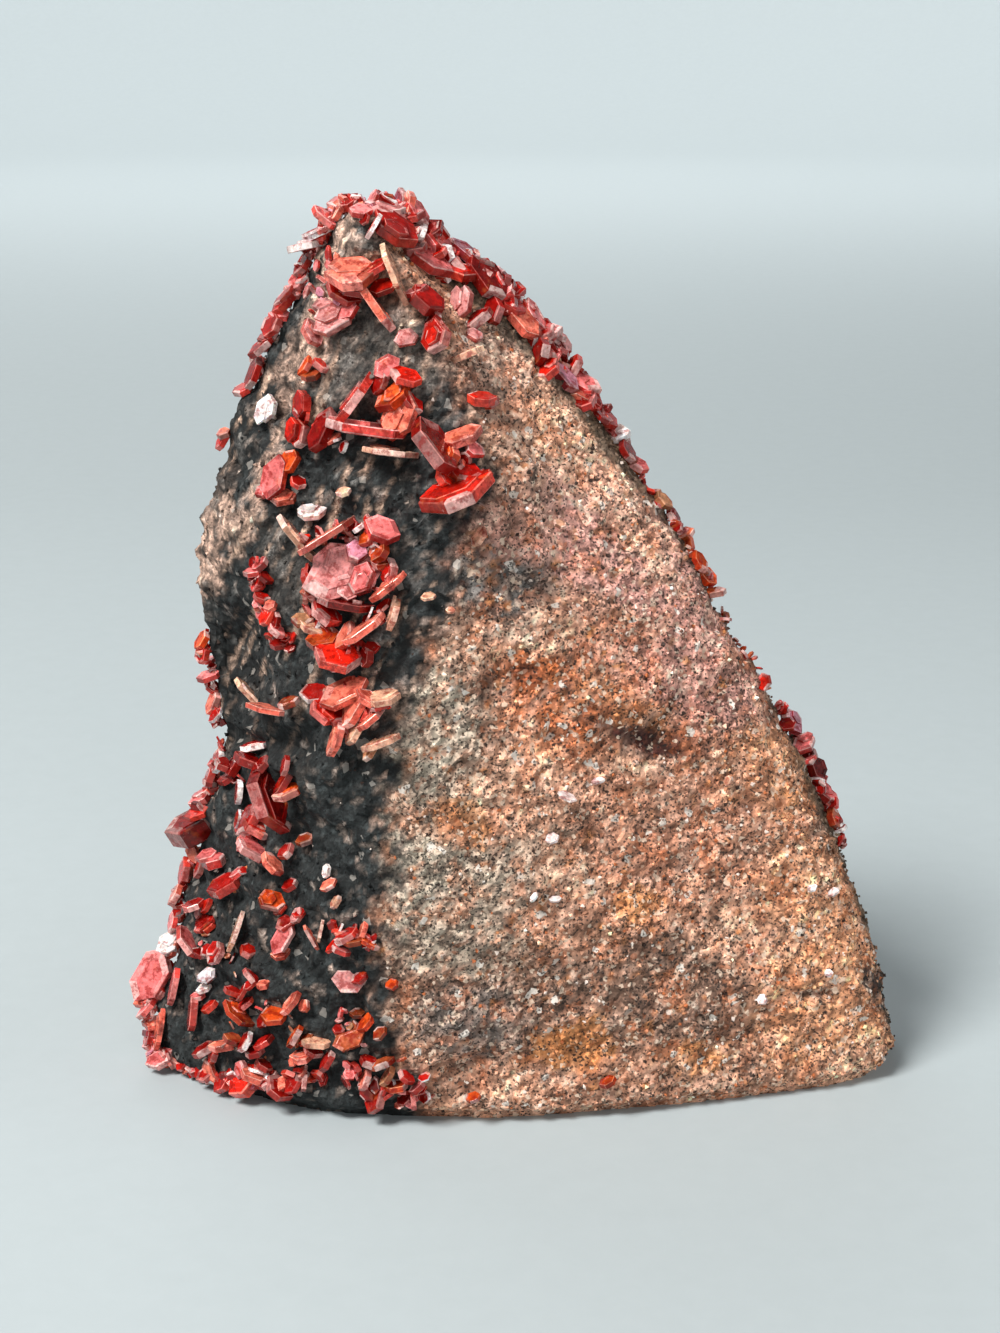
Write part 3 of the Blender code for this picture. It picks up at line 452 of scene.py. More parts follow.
def front_colour(place, coat, face, fields):
    """The rock's colour in front, and how much of it is broken."""
    across, up = FRONT.picture(place)
    fray = PATCH_FRAY * fields["fine"]
    patch_across = across + PATCH_WANDER * fields["ragged"]
    patch_up = up + PATCH_WANDER * read_field("wander", place)
    coat = patched(coat, COAT_PATCHES, patch_across, patch_up, fray)
    face = patched(face, FACE_PATCHES, patch_across, patch_up, fray)
    brightness = math.exp(MOTTLE * read_field("mottle", place))
    face = tuple(channel * brightness for channel in face)
    slanted = Vector((STREAK_WIDTH[0] * (across - STREAK_SLANT * up), STREAK_WIDTH[1] * up, 0.0))
    blotch = read_field("blotch", place)
    fields.update(blotch=blotch, clear=-blotch, rust=read_field("rust", place),
                  streak=read_field("streak", slanted))
    face = tinted(face, FACE_BLOTCHES, fields)
    face = patched(face, FACE_SPOTS, patch_across, patch_up, fray)
    coat = tinted(coat, COAT_BLOTCHES, fields)
    coat = tinted(coat, HIGH_COAT_TINTS, fields, smooth_step(*HIGH_COAT, up))
    broken = right_of_ridge(across, up, RIDGE_RAGGED * fields["ragged"] + RIDGE_FINE * fields["fine"])
    past_rim = across - curve_at(RIM_LINE, up) + RIM_FRAY * fields["ragged"]
    rim = smooth_step(-RIM_BLEND, RIM_BLEND, past_rim)
    return tint(tint(coat, face, broken), CRUST_OLIVE, RIM_STRENGTH * rim), broken * (1.0 - RIM_CALM * rim)


def ground_colour(place, normal):
    """The rock's colour at a place, and how coarse and contrasting its grains are (0 to 1)."""
    ragged = read_field("ragged", place)
    fine = read_field("fine", place)
    fields = {"ragged": ragged, "smooth": -ragged, "fine": fine, "dark": DARK_FINE * fine - ragged}
    coat = tinted(CHARCOAL, COAT_TINTS, fields)
    face = tinted(FACE_BROWN, FACE_TINTS, fields)
    colour, broken = back_colour(place, coat, face, fields)
    grain = mix(BACK_COAT_GRAIN, 1.0, broken)
    front = smooth_step(-FRONT_BLEND, FRONT_BLEND, normal.dot(FRONT.towards) + FRONT_FRAY * ragged)
    if front > 0.0:
        front_tint, broken = front_colour(place, coat, face, fields)
        colour = tint(colour, front_tint, front)
        grain = mix(grain, mix(FRONT_COAT_GRAIN, 1.0, broken), front)
    return colour, grain


def paint_rock(rock):
    """Write the skin's colour and grain, place by place, as attributes that the material reads."""
    mesh = rock.data
    count = len(mesh.vertices)
    colours = np.ones((count, 4), np.float32)
    grains = np.zeros(count, np.float32)
    for index, vert in enumerate(mesh.vertices):
        colours[index, :3], grains[index] = ground_colour(vert.co, vert.normal)
    speckle = np.random.default_rng(SPECKLE_SEED).normal(0.0, 1.0, count)
    speckle *= SPECKLE + COAT_SPECKLE * (1.0 - grains)
    colours[:, :3] *= np.exp(speckle)[:, None]
    colours[:, :3] = np.clip(colours[:, :3], 0.0, BRIGHTEST)
    mesh.attributes.new("ground", "FLOAT_COLOR", "POINT").data.foreach_set("color", colours.ravel())
    mesh.attributes.new("grain", "FLOAT", "POINT").data.foreach_set("value", grains)


# ------------------------------------------------------------------------------------- materials
#
# Noise and cell scales are in cells to the metre: 2500 makes grains of 0.4 mm.

ROCK_PALE = linear(214, 190, 168)
ROCK_RUST = linear(150, 78, 40)
ROCK_WHITE = linear(226, 216, 205)
ROCK_DARK = linear(38, 32, 30)
CRYSTAL_OCHRE = linear(206, 106, 52)
CRYSTAL_DARK = linear(132, 16, 11)
CRYSTAL_BLOOM = linear(240, 206, 196)
BACKDROP_COLOUR = linear(168, 176, 178)

# Scales of the rock's grains
COARSE_GRAINS = 2500.0
FINE_GRAINS = 5200.0
RUSTY_GRAINS = 1900.0
WHITE_GRAINS = 1500.0

# Noises: (scale, detail, roughness)
PATCHY_NOISE = (700.0, 4.0, 0.65)
CALM_NOISE = (1300.0, 5.0, 0.7)
LIVELY_NOISE = (240.0, 4.0, 0.6)
CLOUD_NOISE = (900.0, 4.0, 0.6)
STREAK_NOISE = (3200.0, 2.0, 0.5)
OCHRE_NOISE = (520.0, 3.0, 0.6)
INCLUSION_NOISE = (1150.0, 5.0, 0.65)
BLOOM_NOISE = (1700.0, 4.0, 0.7)
LOOSE_GRAIN_NOISE = (3000.0, 3.0, 0.6)
FIBRE_NOISE = (300.0, 4.0, 0.7)

ROCK_BUMP = (0.55, 0.00012)             # (strength, depth in metres)
CRYSTAL_BUMP = (0.18, 0.00008)
CRYSTAL_IOR = 1.6
CRYSTAL_GLINT = (1.0, 0.5, 0.45, 1.0)
CRYSTAL_LACQUER = 0.12                  # weight and roughness of the clear outer layer
CRYSTAL_GLOW_REACH = (0.0012, 0.0004, 0.0002)
ROUGHNESS_SPREAD = (-0.07, 0.12)


class Nodes:
    """Short calls that add shader nodes and join them."""

    def __init__(self, name):
        self.material = bpy.data.materials.new(name)
        self.material.use_nodes = True
        self.tree = self.material.node_tree

    def feed(self, node, socket, value):
        if isinstance(value, bpy.types.NodeSocket):
            self.tree.links.new(value, node.inputs[socket])
        else:
            node.inputs[socket].default_value = value

    def add(self, kind, settings=None, **inputs):
        """A new node; an input's name is written with _ for a space."""
        node = self.tree.nodes.new(kind)
        for key, value in (settings or {}).items():
            setattr(node, key, value)
        for key, value in inputs.items():
            self.feed(node, key.replace("_", " "), value)
        return node

    def surface(self, **inputs):
        """Feed the surface shader: links for what varies, plain values on its own sockets."""
        for key, value in inputs.items():
            self.feed(self.tree.nodes["Principled BSDF"], key.replace("_", " "), value)
        return self.material

    def attribute(self, name, output="Color"):
        return self.add("ShaderNodeAttribute", {"attribute_name": name}).outputs[output]

    def object_place(self):
        return self.add("ShaderNodeTexCoord").outputs["Object"]

    def noise(self, scale, detail, roughness):
        node = self.add("ShaderNodeTexNoise", Vector=self.object_place(), Scale=scale, Detail=detail,
                        Roughness=roughness)
        return node.outputs["Fac"]

    def cells(self, scale):
        """One even value, 0 to 1, for each grain."""
        grains = self.add("ShaderNodeTexVoronoi", Vector=self.object_place(), Scale=scale)
        return self.add("ShaderNodeSeparateColor", Color=grains.outputs["Color"]).outputs[0]

    def spread(self, value, low, high, new_low, new_high):
        node = self.add("ShaderNodeMapRange", Value=value, From_Min=low, From_Max=high,
                        To_Min=new_low, To_Max=new_high)
        return node.outputs["Result"]

    def math(self, operation, first, second):
        node = self.add("ShaderNodeMath", {"operation": operation})
        self.feed(node, 0, first)
        self.feed(node, 1, second)
        return node.outputs[0]

    def mix(self, share, first, second):
        """A number between two others."""
        return self.add("ShaderNodeMix", {"data_type": "FLOAT"}, Factor=share, A=first, B=second).outputs[0]

    def blend(self, share, first, second, mode="MIX"):
        """A colour between two others; a plain colour has three channels."""
        node = self.add("ShaderNodeMix", {"data_type": "RGBA", "blend_type": mode})
        for socket, value in ((0, share), (6, first), (7, second)):
            self.feed(node, socket, (*value, 1.0) if isinstance(value, tuple) else value)
        return node.outputs[2]

    def shaded(self, colour, shade):
        """A colour made darker or brighter by a factor that varies over the surface."""
        factor = self.add("ShaderNodeCombineColor", Red=shade, Green=shade, Blue=shade).outputs[0]
        return self.blend(1.0, colour, factor, "MULTIPLY")

    def bump(self, height, strength, distance):
        node = self.add("ShaderNodeBump", Strength=strength, Distance=distance, Height=height)
        return node.outputs["Normal"]


def rock_material():
    """Granular broken rock: mineral grains of about 0.4 and 0.2 mm over the painted ground."""
    n = Nodes("matrix_rock_skin")
    grain = n.attribute("grain", "Fac")
    broken = n.spread(grain, 0.35, 1.0, 0.0, 1.0)
    coarse = n.cells(COARSE_GRAINS)
    fine = n.cells(FINE_GRAINS)
    patchy = n.noise(*PATCHY_NOISE)

    # Brightness: sharp grains on the broken face, in calmer and livelier patches, mild ones on the coat
    sharp = n.math("MULTIPLY", n.spread(coarse, 0.0, 1.0, 0.34, 1.76), n.spread(fine, 0.0, 1.0, 0.62, 1.38))
    sharp = n.math("MULTIPLY", sharp, n.spread(patchy, 0.25, 0.75, 0.72, 1.28))
    calm = n.spread(n.noise(*CALM_NOISE), 0.3, 0.7, 0.6, 1.4)
    lively = n.spread(n.noise(*LIVELY_NOISE), 0.38, 0.62, 0.25, 1.0)
    mild = n.math("MULTIPLY", n.spread(fine, 0.0, 1.0, 0.45, 1.6), n.spread(patchy, 0.3, 0.7, 0.5, 1.45))
    shade = n.mix(grain, mild, n.mix(lively, calm, sharp))
    colour = n.shaded(n.attribute("ground"), shade)

    # Single grains of other colours
    pale = n.math("MULTIPLY", n.spread(coarse, 0.86, 0.92, 0.0, 0.80), broken)
    rusty = n.math("MULTIPLY", n.spread(n.cells(RUSTY_GRAINS), 0.92, 0.96, 0.0, 0.45), broken)
    white = n.spread(n.cells(WHITE_GRAINS), 0.975, 0.985, 0.0, 0.85)
    white = n.math("MULTIPLY", white, n.spread(grain, 0.0, 1.0, 0.05, 1.0))
    dark = n.math("MULTIPLY", n.spread(fine, 0.13, 0.19, 0.80, 0.0), broken)
    for share, other in ((pale, ROCK_PALE), (rusty, ROCK_RUST), (white, ROCK_WHITE), (dark, ROCK_DARK)):
        colour = n.blend(share, colour, other)

    height = n.math("ADD", n.math("MULTIPLY", coarse, 0.6), n.math("MULTIPLY", fine, 0.4))
    height = n.math("ADD", height, patchy)
    return n.surface(Base_Color=colour, Roughness=n.spread(patchy, 0.2, 0.8, 0.72, 0.95),
                     Specular_IOR_Level=0.35, Normal=n.bump(height, *ROCK_BUMP))


def crystal_material(name, roughness, glow):
    """Vanadinite: bright lustre over the tablet's own colour, with growth streaks and clouds."""
    n = Nodes(name)
    clouds = n.noise(*CLOUD_NOISE)
    streaks = n.noise(*STREAK_NOISE)
    shade = n.math("MULTIPLY", n.spread(clouds, 0.32, 0.68, 0.55, 1.28),
                   n.spread(streaks, 0.3, 0.7, 0.78, 1.2))
    colour = n.shaded(n.attribute("coat"), shade)
    ochre = n.spread(n.noise(*OCHRE_NOISE), 0.6, 0.72, 0.0, 0.35)
    inclusions = n.spread(n.noise(*INCLUSION_NOISE), 0.50, 0.60, 0.0, 0.7)
    bloom = n.spread(n.noise(*BLOOM_NOISE), 0.62, 0.70, 0.0, 0.18)
    for share, cloud in ((ochre, CRYSTAL_OCHRE), (inclusions, CRYSTAL_DARK), (bloom, CRYSTAL_BLOOM)):
        colour = n.blend(share, colour, cloud)
    height = n.math("ADD", streaks, n.math("MULTIPLY", clouds, 0.5))
    rough_range = [roughness + step for step in ROUGHNESS_SPREAD]
    return n.surface(Base_Color=colour, IOR=CRYSTAL_IOR, Specular_Tint=CRYSTAL_GLINT,
                     Roughness=n.spread(streaks, 0.3, 0.7, *rough_range),
                     Coat_Weight=CRYSTAL_LACQUER, Coat_Roughness=CRYSTAL_LACQUER,
                     Subsurface_Weight=glow, Subsurface_Radius=CRYSTAL_GLOW_REACH,
                     Subsurface_Scale=1.0, Normal=n.bump(height, *CRYSTAL_BUMP))


def grain_material():
    """Loose mineral grains, each in its own colour."""
    n = Nodes("mineral_grains")
    fine = n.noise(*LOOSE_GRAIN_NOISE)
    return n.surface(Base_Color=n.shaded(n.attribute("coat"), n.spread(fine, 0.3, 0.7, 0.8, 1.2)),
                     Roughness=n.spread(fine, 0.3, 0.7, 0.45, 0.8), Specular_IOR_Level=0.2)


def backdrop_material():
    """Plain matt backdrop paper, with a faint fibre mottle."""
    n = Nodes("backdrop_paper")
    fibre = n.spread(n.noise(*FIBRE_NOISE), 0.3, 0.7, 0.985, 1.015)
    return n.surface(Base_Color=n.shaded(BACKDROP_COLOUR, fibre), Roughness=0.9, Specular_IOR_Level=0.1)


# ------------------------------------------------------------------------------ crystal building

# Colours of a tablet: its flat faces; its sides, on the red and deep coats painted lighter as reflected
# light; and its edges, painted lighter as highlights
COATS = {
    "red": (linear(160, 18, 12), linear(186, 54, 45), linear(244, 160, 148)),
    "deep": (linear(116, 8, 6), linear(142, 24, 19), linear(232, 130, 120)),
    "bright": (linear(204, 30, 16), linear(206, 60, 44), linear(250, 170, 150)),
    "orange": (linear(204, 74, 26), linear(190, 58, 22), linear(242, 174, 128)),
    "pink": (linear(224, 112, 110), linear(200, 62, 56), linear(252, 214, 206)),
    "rose": (linear(238, 150, 146), linear(222, 104, 98), linear(255, 232, 228)),
    "salmon": (linear(224, 114, 92), linear(214, 98, 80), linear(250, 208, 190)),
    "dusty": (linear(200, 132, 128), linear(180, 96, 88), linear(238, 208, 202)),
    "cream": (linear(216, 162, 132), linear(222, 168, 140), linear(246, 224, 204)),
    "tan": (linear(178, 124, 90), linear(162, 104, 72), linear(220, 184, 152)),
    "pale": (linear(232, 214, 210), linear(240, 222, 216), linear(250, 242, 240)),
    # The glint coat paints glints: deep red faces with white sides and edges, painted reflections
    "glint": (linear(150, 16, 11), linear(250, 236, 232), linear(252, 244, 240)),
    "grey": (linear(190, 184, 186), linear(150, 138, 138), linear(230, 224, 224)),
    "brown": (linear(164, 74, 40), linear(144, 58, 30), linear(216, 152, 116)),
    "lilac": (linear(192, 122, 138), linear(150, 48, 54), linear(236, 196, 202)),
}
PALE_COATS = ("pink", "rose", "glint", "salmon", "cream", "pale", "dusty", "tan")
PALE_AND_GLINT_COATS = ("glint", "pale")
TONES = (0.58, 1.36)                    # how dark and light tablets of one colour come
PALE_TONES = (0.90, 1.26)
SIDE_TONES = (0.85, 1.15)               # a tablet's sides against its flat faces
# Facets round a tablet get their own brightness, painted light and shade standing in for reflections on
# glossy faces; pale and glint tablets keep light facets, as painted glints
FACET_LIGHT_AND_SHADE = (0.42, 1.48)              # painted light and shade: how dark and light the facets round one tablet come
PALE_AND_GLINT_FACET_LIGHT = (0.90, 1.35)
RAISED_STEP_HIGHLIGHT = (1.02, 1.15)             # a growth step that stands out is painted lighter as a highlight, one that is sunk darker as painted shade
SUNK_STEP_SHADE = (0.8, 0.95)
EDGE_HIGHLIGHT_SHARES = (0.10, 0.60)              # how much of the painted edge highlight shows
PAINTED_FACET_HIGHLIGHT = linear(250, 222, 214)           # some facets are painted paler: a painted highlight
PAINTED_HIGHLIGHT_SHARES = (0.0, 0.0, 0.0, 0.0, 0.18, 0.48)

HEXAGON = [math.radians(30 + 60 * side) for side in range(6)]
COS_60 = 0.5
SIN_60_SQUARED = 0.75
SIDE_VARIATION = 0.17                   # how unequal the six sides are
STRETCH = (0.95, 1.40)                  # a tablet's length against its breadth
THINNING = 0.76                         # tablets are this much thinner than their tables say
BEVEL_OF_THICKNESS = 0.08
BEVEL_OF_WIDTH = 0.028
BEVEL_SPREAD = (0.6, 1.5)
STEPPED_SHARE = 0.4                     # how many tablets show a growth step on their flat faces
STEP_HEIGHT = 0.10                      # in mm, and as a share of the thickness
PLAIN_STEP = 0.15                       # the share of it that the other tablets keep
STEP_REACH = (0.62, 0.8)                # outline of the step, as a share of the tablet's
STEP_WALL = 0.05
STEP_DRIFT = 0.05


def hexagon_corners(width, rng):
    """Corners of a six-sided outline whose sides keep their directions but not their lengths."""
    reach = width / 2 * math.cos(math.radians(30))
    sides = [reach * (1 + rng.uniform(-SIDE_VARIATION, SIDE_VARIATION)) for _ in HEXAGON]
    corners = []
    for i in range(6):
        j = (i + 1) % 6
        first = Vector((math.cos(HEXAGON[i]), math.sin(HEXAGON[i])))
        second = Vector((math.cos(HEXAGON[j]), math.sin(HEXAGON[j])))
        a = (sides[i] - sides[j] * COS_60) / SIN_60_SQUARED
        b = (sides[j] - sides[i] * COS_60) / SIN_60_SQUARED
        corners.append(a * first + b * second)
    stretch = rng.uniform(*STRETCH)
    return [Vector((corner.x * stretch, corner.y / stretch ** 0.5)) for corner in corners]


def shade_of(colour, factor):
    return tuple(min(channel * factor, 1.0) for channel in colour)


class CrystalMesh:
    """Gathers many tablets into one mesh, with a colour on every face."""

    def __init__(self):
        self.verts = []
        self.faces = []
        self.colours = []

    def add_ring_stack(self, rings, colours, facets, frame):
        """Join level outlines of equal length into a closed skin.

        The colours are one for each band between two outlines, then those of the two ends; the facets are
        (brightness factor, share of painted highlight), one for each side of the outline: the factor paints
        light and shade on the facet.
        """
        start = len(self.verts)
        count = len(rings[0])
        for ring in rings:
            self.verts.extend(frame @ point for point in ring)
        for level, colour in enumerate(colours[:-2]):
            base = start + level * count
            for i, (tone, painted_highlight) in enumerate(facets):
                j = (i + 1) % count
                self.faces.append((base + i, base + j, base + count + j, base + count + i))
                # Each facet's colour gets its painted light and shade, then its share of the painted
                # highlight
                self.colours.append(tint(shade_of(colour, tone), PAINTED_FACET_HIGHLIGHT, painted_highlight))
        top = start + (len(rings) - 1) * count
        self.faces.append(tuple(start + i for i in reversed(range(count))))
        self.faces.append(tuple(top + i for i in range(count)))
        self.colours.extend(colours[-2:])

    def build(self, name):
        mesh = bpy.data.meshes.new(name)
        mesh.from_pydata(self.verts, [], self.faces)
        values = np.ones((len(self.colours), 4), np.float32)
        values[:, :3] = self.colours
        mesh.attributes.new("coat", "FLOAT_COLOR", "FACE").data.foreach_set("color", values.ravel())
        mesh.transform(Matrix.Scale(MM, 4))
        return bpy.data.objects.new(name, mesh)


def add_tablet(store, frame, width, thickness, coat, rng):
    """A six-sided tablet: sides, narrow bevelled edges and stepped growth layers on its flat faces."""
    flat, side, edge = COATS[coat]
    tone = rng.uniform(*(PALE_TONES if coat in PALE_COATS else TONES))
    flat = shade_of(flat, tone)
    side = shade_of(side, tone * rng.uniform(*SIDE_TONES))
    # The edges take part of the painted edge highlight
    edge = tint(flat, edge, rng.uniform(*EDGE_HIGHLIGHT_SHARES))
    corners = hexagon_corners(width, rng)
    half = thickness / 2
    bevel = min(BEVEL_OF_THICKNESS * thickness, BEVEL_OF_WIDTH * width) * rng.uniform(*BEVEL_SPREAD)
    stepped = rng.random() < STEPPED_SHARE
    step = STEP_HEIGHT * min(1.0, thickness) * (rng.choice((-1.0, 1.0)) if stepped else PLAIN_STEP)
    reach = rng.uniform(*STEP_REACH)
    drift = Vector((rng.uniform(-1, 1), rng.uniform(-1, 1))) * STEP_DRIFT * width

    def ring(scale, level, inset=0.0, move=Vector((0.0, 0.0))):
        places = [corner * scale - corner.normalized() * inset + move for corner in corners]
        return [Vector((place.x, place.y, level)) for place in places]

    rings = [
        ring(reach, -half + step, 0.0, drift), ring(reach + STEP_WALL, -half, 0.0, drift),
        ring(1.0, -half, bevel), ring(1.0, -half + bevel),
        ring(1.0, half - bevel), ring(1.0, half, bevel),
        ring(reach + STEP_WALL, half, 0.0, drift), ring(reach, half + step, 0.0, drift),
    ]
    # The step's top: painted highlight where it stands out, painted shade where it is sunk; its wall takes
    # half
    inner = shade_of(flat, rng.uniform(*(RAISED_STEP_HIGHLIGHT if step > 0 else SUNK_STEP_SHADE)))
    if not stepped:
        inner = flat
    wall = tint(flat, inner, 0.5)
    # Painted light and shade for each facet, with its share of painted highlight
    facet_light_and_shade = PALE_AND_GLINT_FACET_LIGHT if coat in PALE_AND_GLINT_COATS else FACET_LIGHT_AND_SHADE
    facets = [(rng.uniform(*facet_light_and_shade), rng.choice(PAINTED_HIGHLIGHT_SHARES)) for _ in corners]
    store.add_ring_stack(rings, [wall, flat, edge, side, edge, flat, wall, inner, inner], facets, frame)


# ---------------------------------------------------------------- planting crystals on the rock

SEARCH_STEPS = 90                       # places tried on a sight line that misses the rock
SEARCH_SPAN = 70.0
RIM_REACH = 0.34            # a rim crystal's middle stands off the rock by this share of its width
STAND = 0.3                             # how far a tablet's middle stands off the rock, in mm
STAND_OF_THICKNESS = 0.32
STAND_OF_WIDTH = 0.15                   # for one that is seen edge-on
LOWEST_CRYSTAL = 0.15                   # no tablet is closer to the floor than this
TWIN_WIDTH = 2.2                        # tablets wider than this may carry a smaller, parallel one
TWIN_SHARE = 0.45                       # how many of them do
TWIN_CLEARANCE = 1.5                    # but none this close to the floor
TWIN_SHIFT = 0.2
TWIN_LIFT = 0.55
TWIN_SPIN = 9.0
TWIN_TIP = 7.0
TWIN_SIZES = (0.5, 0.85)
TWIN_THICKNESS = 0.5


def tablet_frame(sight, place, turn, lean):
    """Where a tablet lies: its long side turned in the picture plane, its flat face leant away."""
    turn = math.radians(turn)
    lean = math.radians(lean)
    long_side = math.cos(turn) * sight.across + math.sin(turn) * sight.up
    aside = sight.towards.cross(long_side)
    normal = (math.cos(lean) * sight.towards + math.sin(lean) * aside).normalized()
    turned = Matrix((long_side, normal.cross(long_side), normal)).transposed().to_4x4()
    return Matrix.Translation(place) @ turned


def find_rock(sight, rock_tree, across, up):
    """A place on the sight line, and the rock point that it touches or passes closest to."""
    direction = sight.line(across, up)
    hit = rock_tree.ray_cast(sight.eye, direction)[0]
    if hit is not None:
        return hit, hit
    candidates = []
    for step in range(SEARCH_STEPS):
        reach = SIGHT_DISTANCE + SEARCH_SPAN * (step / SEARCH_STEPS - 0.5)
        place = sight.eye + reach * direction
        nearest, _, _, distance = rock_tree.find_nearest(place)
        candidates.append((distance, step, place, nearest))
    return min(candidates)[2:]


def add_twin(store, frame, width, thickness, coat, rng):
    """A smaller tablet grown nearly parallel on a tablet's flat face."""
    shift = [rng.uniform(-TWIN_SHIFT, TWIN_SHIFT) * width for _ in range(2)]
    lift = Matrix.Translation((*shift, TWIN_LIFT * thickness))
    spin = Matrix.Rotation(math.radians(rng.uniform(-TWIN_SPIN, TWIN_SPIN)), 4, "Z")
    tip = Matrix.Rotation(math.radians(rng.uniform(-TWIN_TIP, TWIN_TIP)), 4, "X")
    width *= rng.uniform(*TWIN_SIZES)
    add_tablet(store, frame @ lift @ spin @ tip, width, TWIN_THICKNESS * thickness, coat, rng)


def plant_tablet(store, sight, rock_tree, entry, rng):
    """Grow one tablet of a table: (across, up, width, thickness, turn, lean, coat)."""
    across, up, width, thickness, turn, lean, coat = entry
    thickness *= THINNING
    place, root = find_rock(sight, rock_tree, across, up)
    if place == root:
        edge_on = math.sin(math.radians(lean))
        stand = STAND + STAND_OF_THICKNESS * thickness + STAND_OF_WIDTH * width * edge_on
        place = place + sight.towards * stand
    elif (place - root).length > RIM_REACH * width:
        place = root + (place - root).normalized() * RIM_REACH * width
    frame = tablet_frame(sight, place, turn, lean)
    axes = frame.to_3x3()
    level_reach = STRETCH[1] * width * math.hypot(axes.col[0].z, axes.col[1].z)
    lowest = place.z - 0.5 * (level_reach + thickness * abs(axes.col[2].z))
    if lowest < LOWEST_CRYSTAL:
        frame = Matrix.Translation((0.0, 0.0, LOWEST_CRYSTAL - lowest)) @ frame
    add_tablet(store, frame, width, thickness, coat, rng)
    if width > TWIN_WIDTH and lowest > TWIN_CLEARANCE and rng.random() < TWIN_SHARE:
        add_twin(store, frame, width, thickness, coat, rng)


def build_crystals(name, entries, sight, rock_tree, rng):
    """One mesh of the tablets of a table."""
    store = CrystalMesh()
    for entry in entries:
        plant_tablet(store, sight, rock_tree, entry, rng)
    return store.build(name)


# ------------------------------------------------------------------------- the crystals, one by one
#
# Each tablet is (across, up, width, thickness, turn, lean, coat): its middle in the picture plane,
# its width across corners, its thickness, the direction of its long visible side in degrees
# anticlockwise from level, how far its flat face leans away (0 face-on, 90 edge-on) and its colour.
# The groups carry the names of the CAD crystals that they refine.

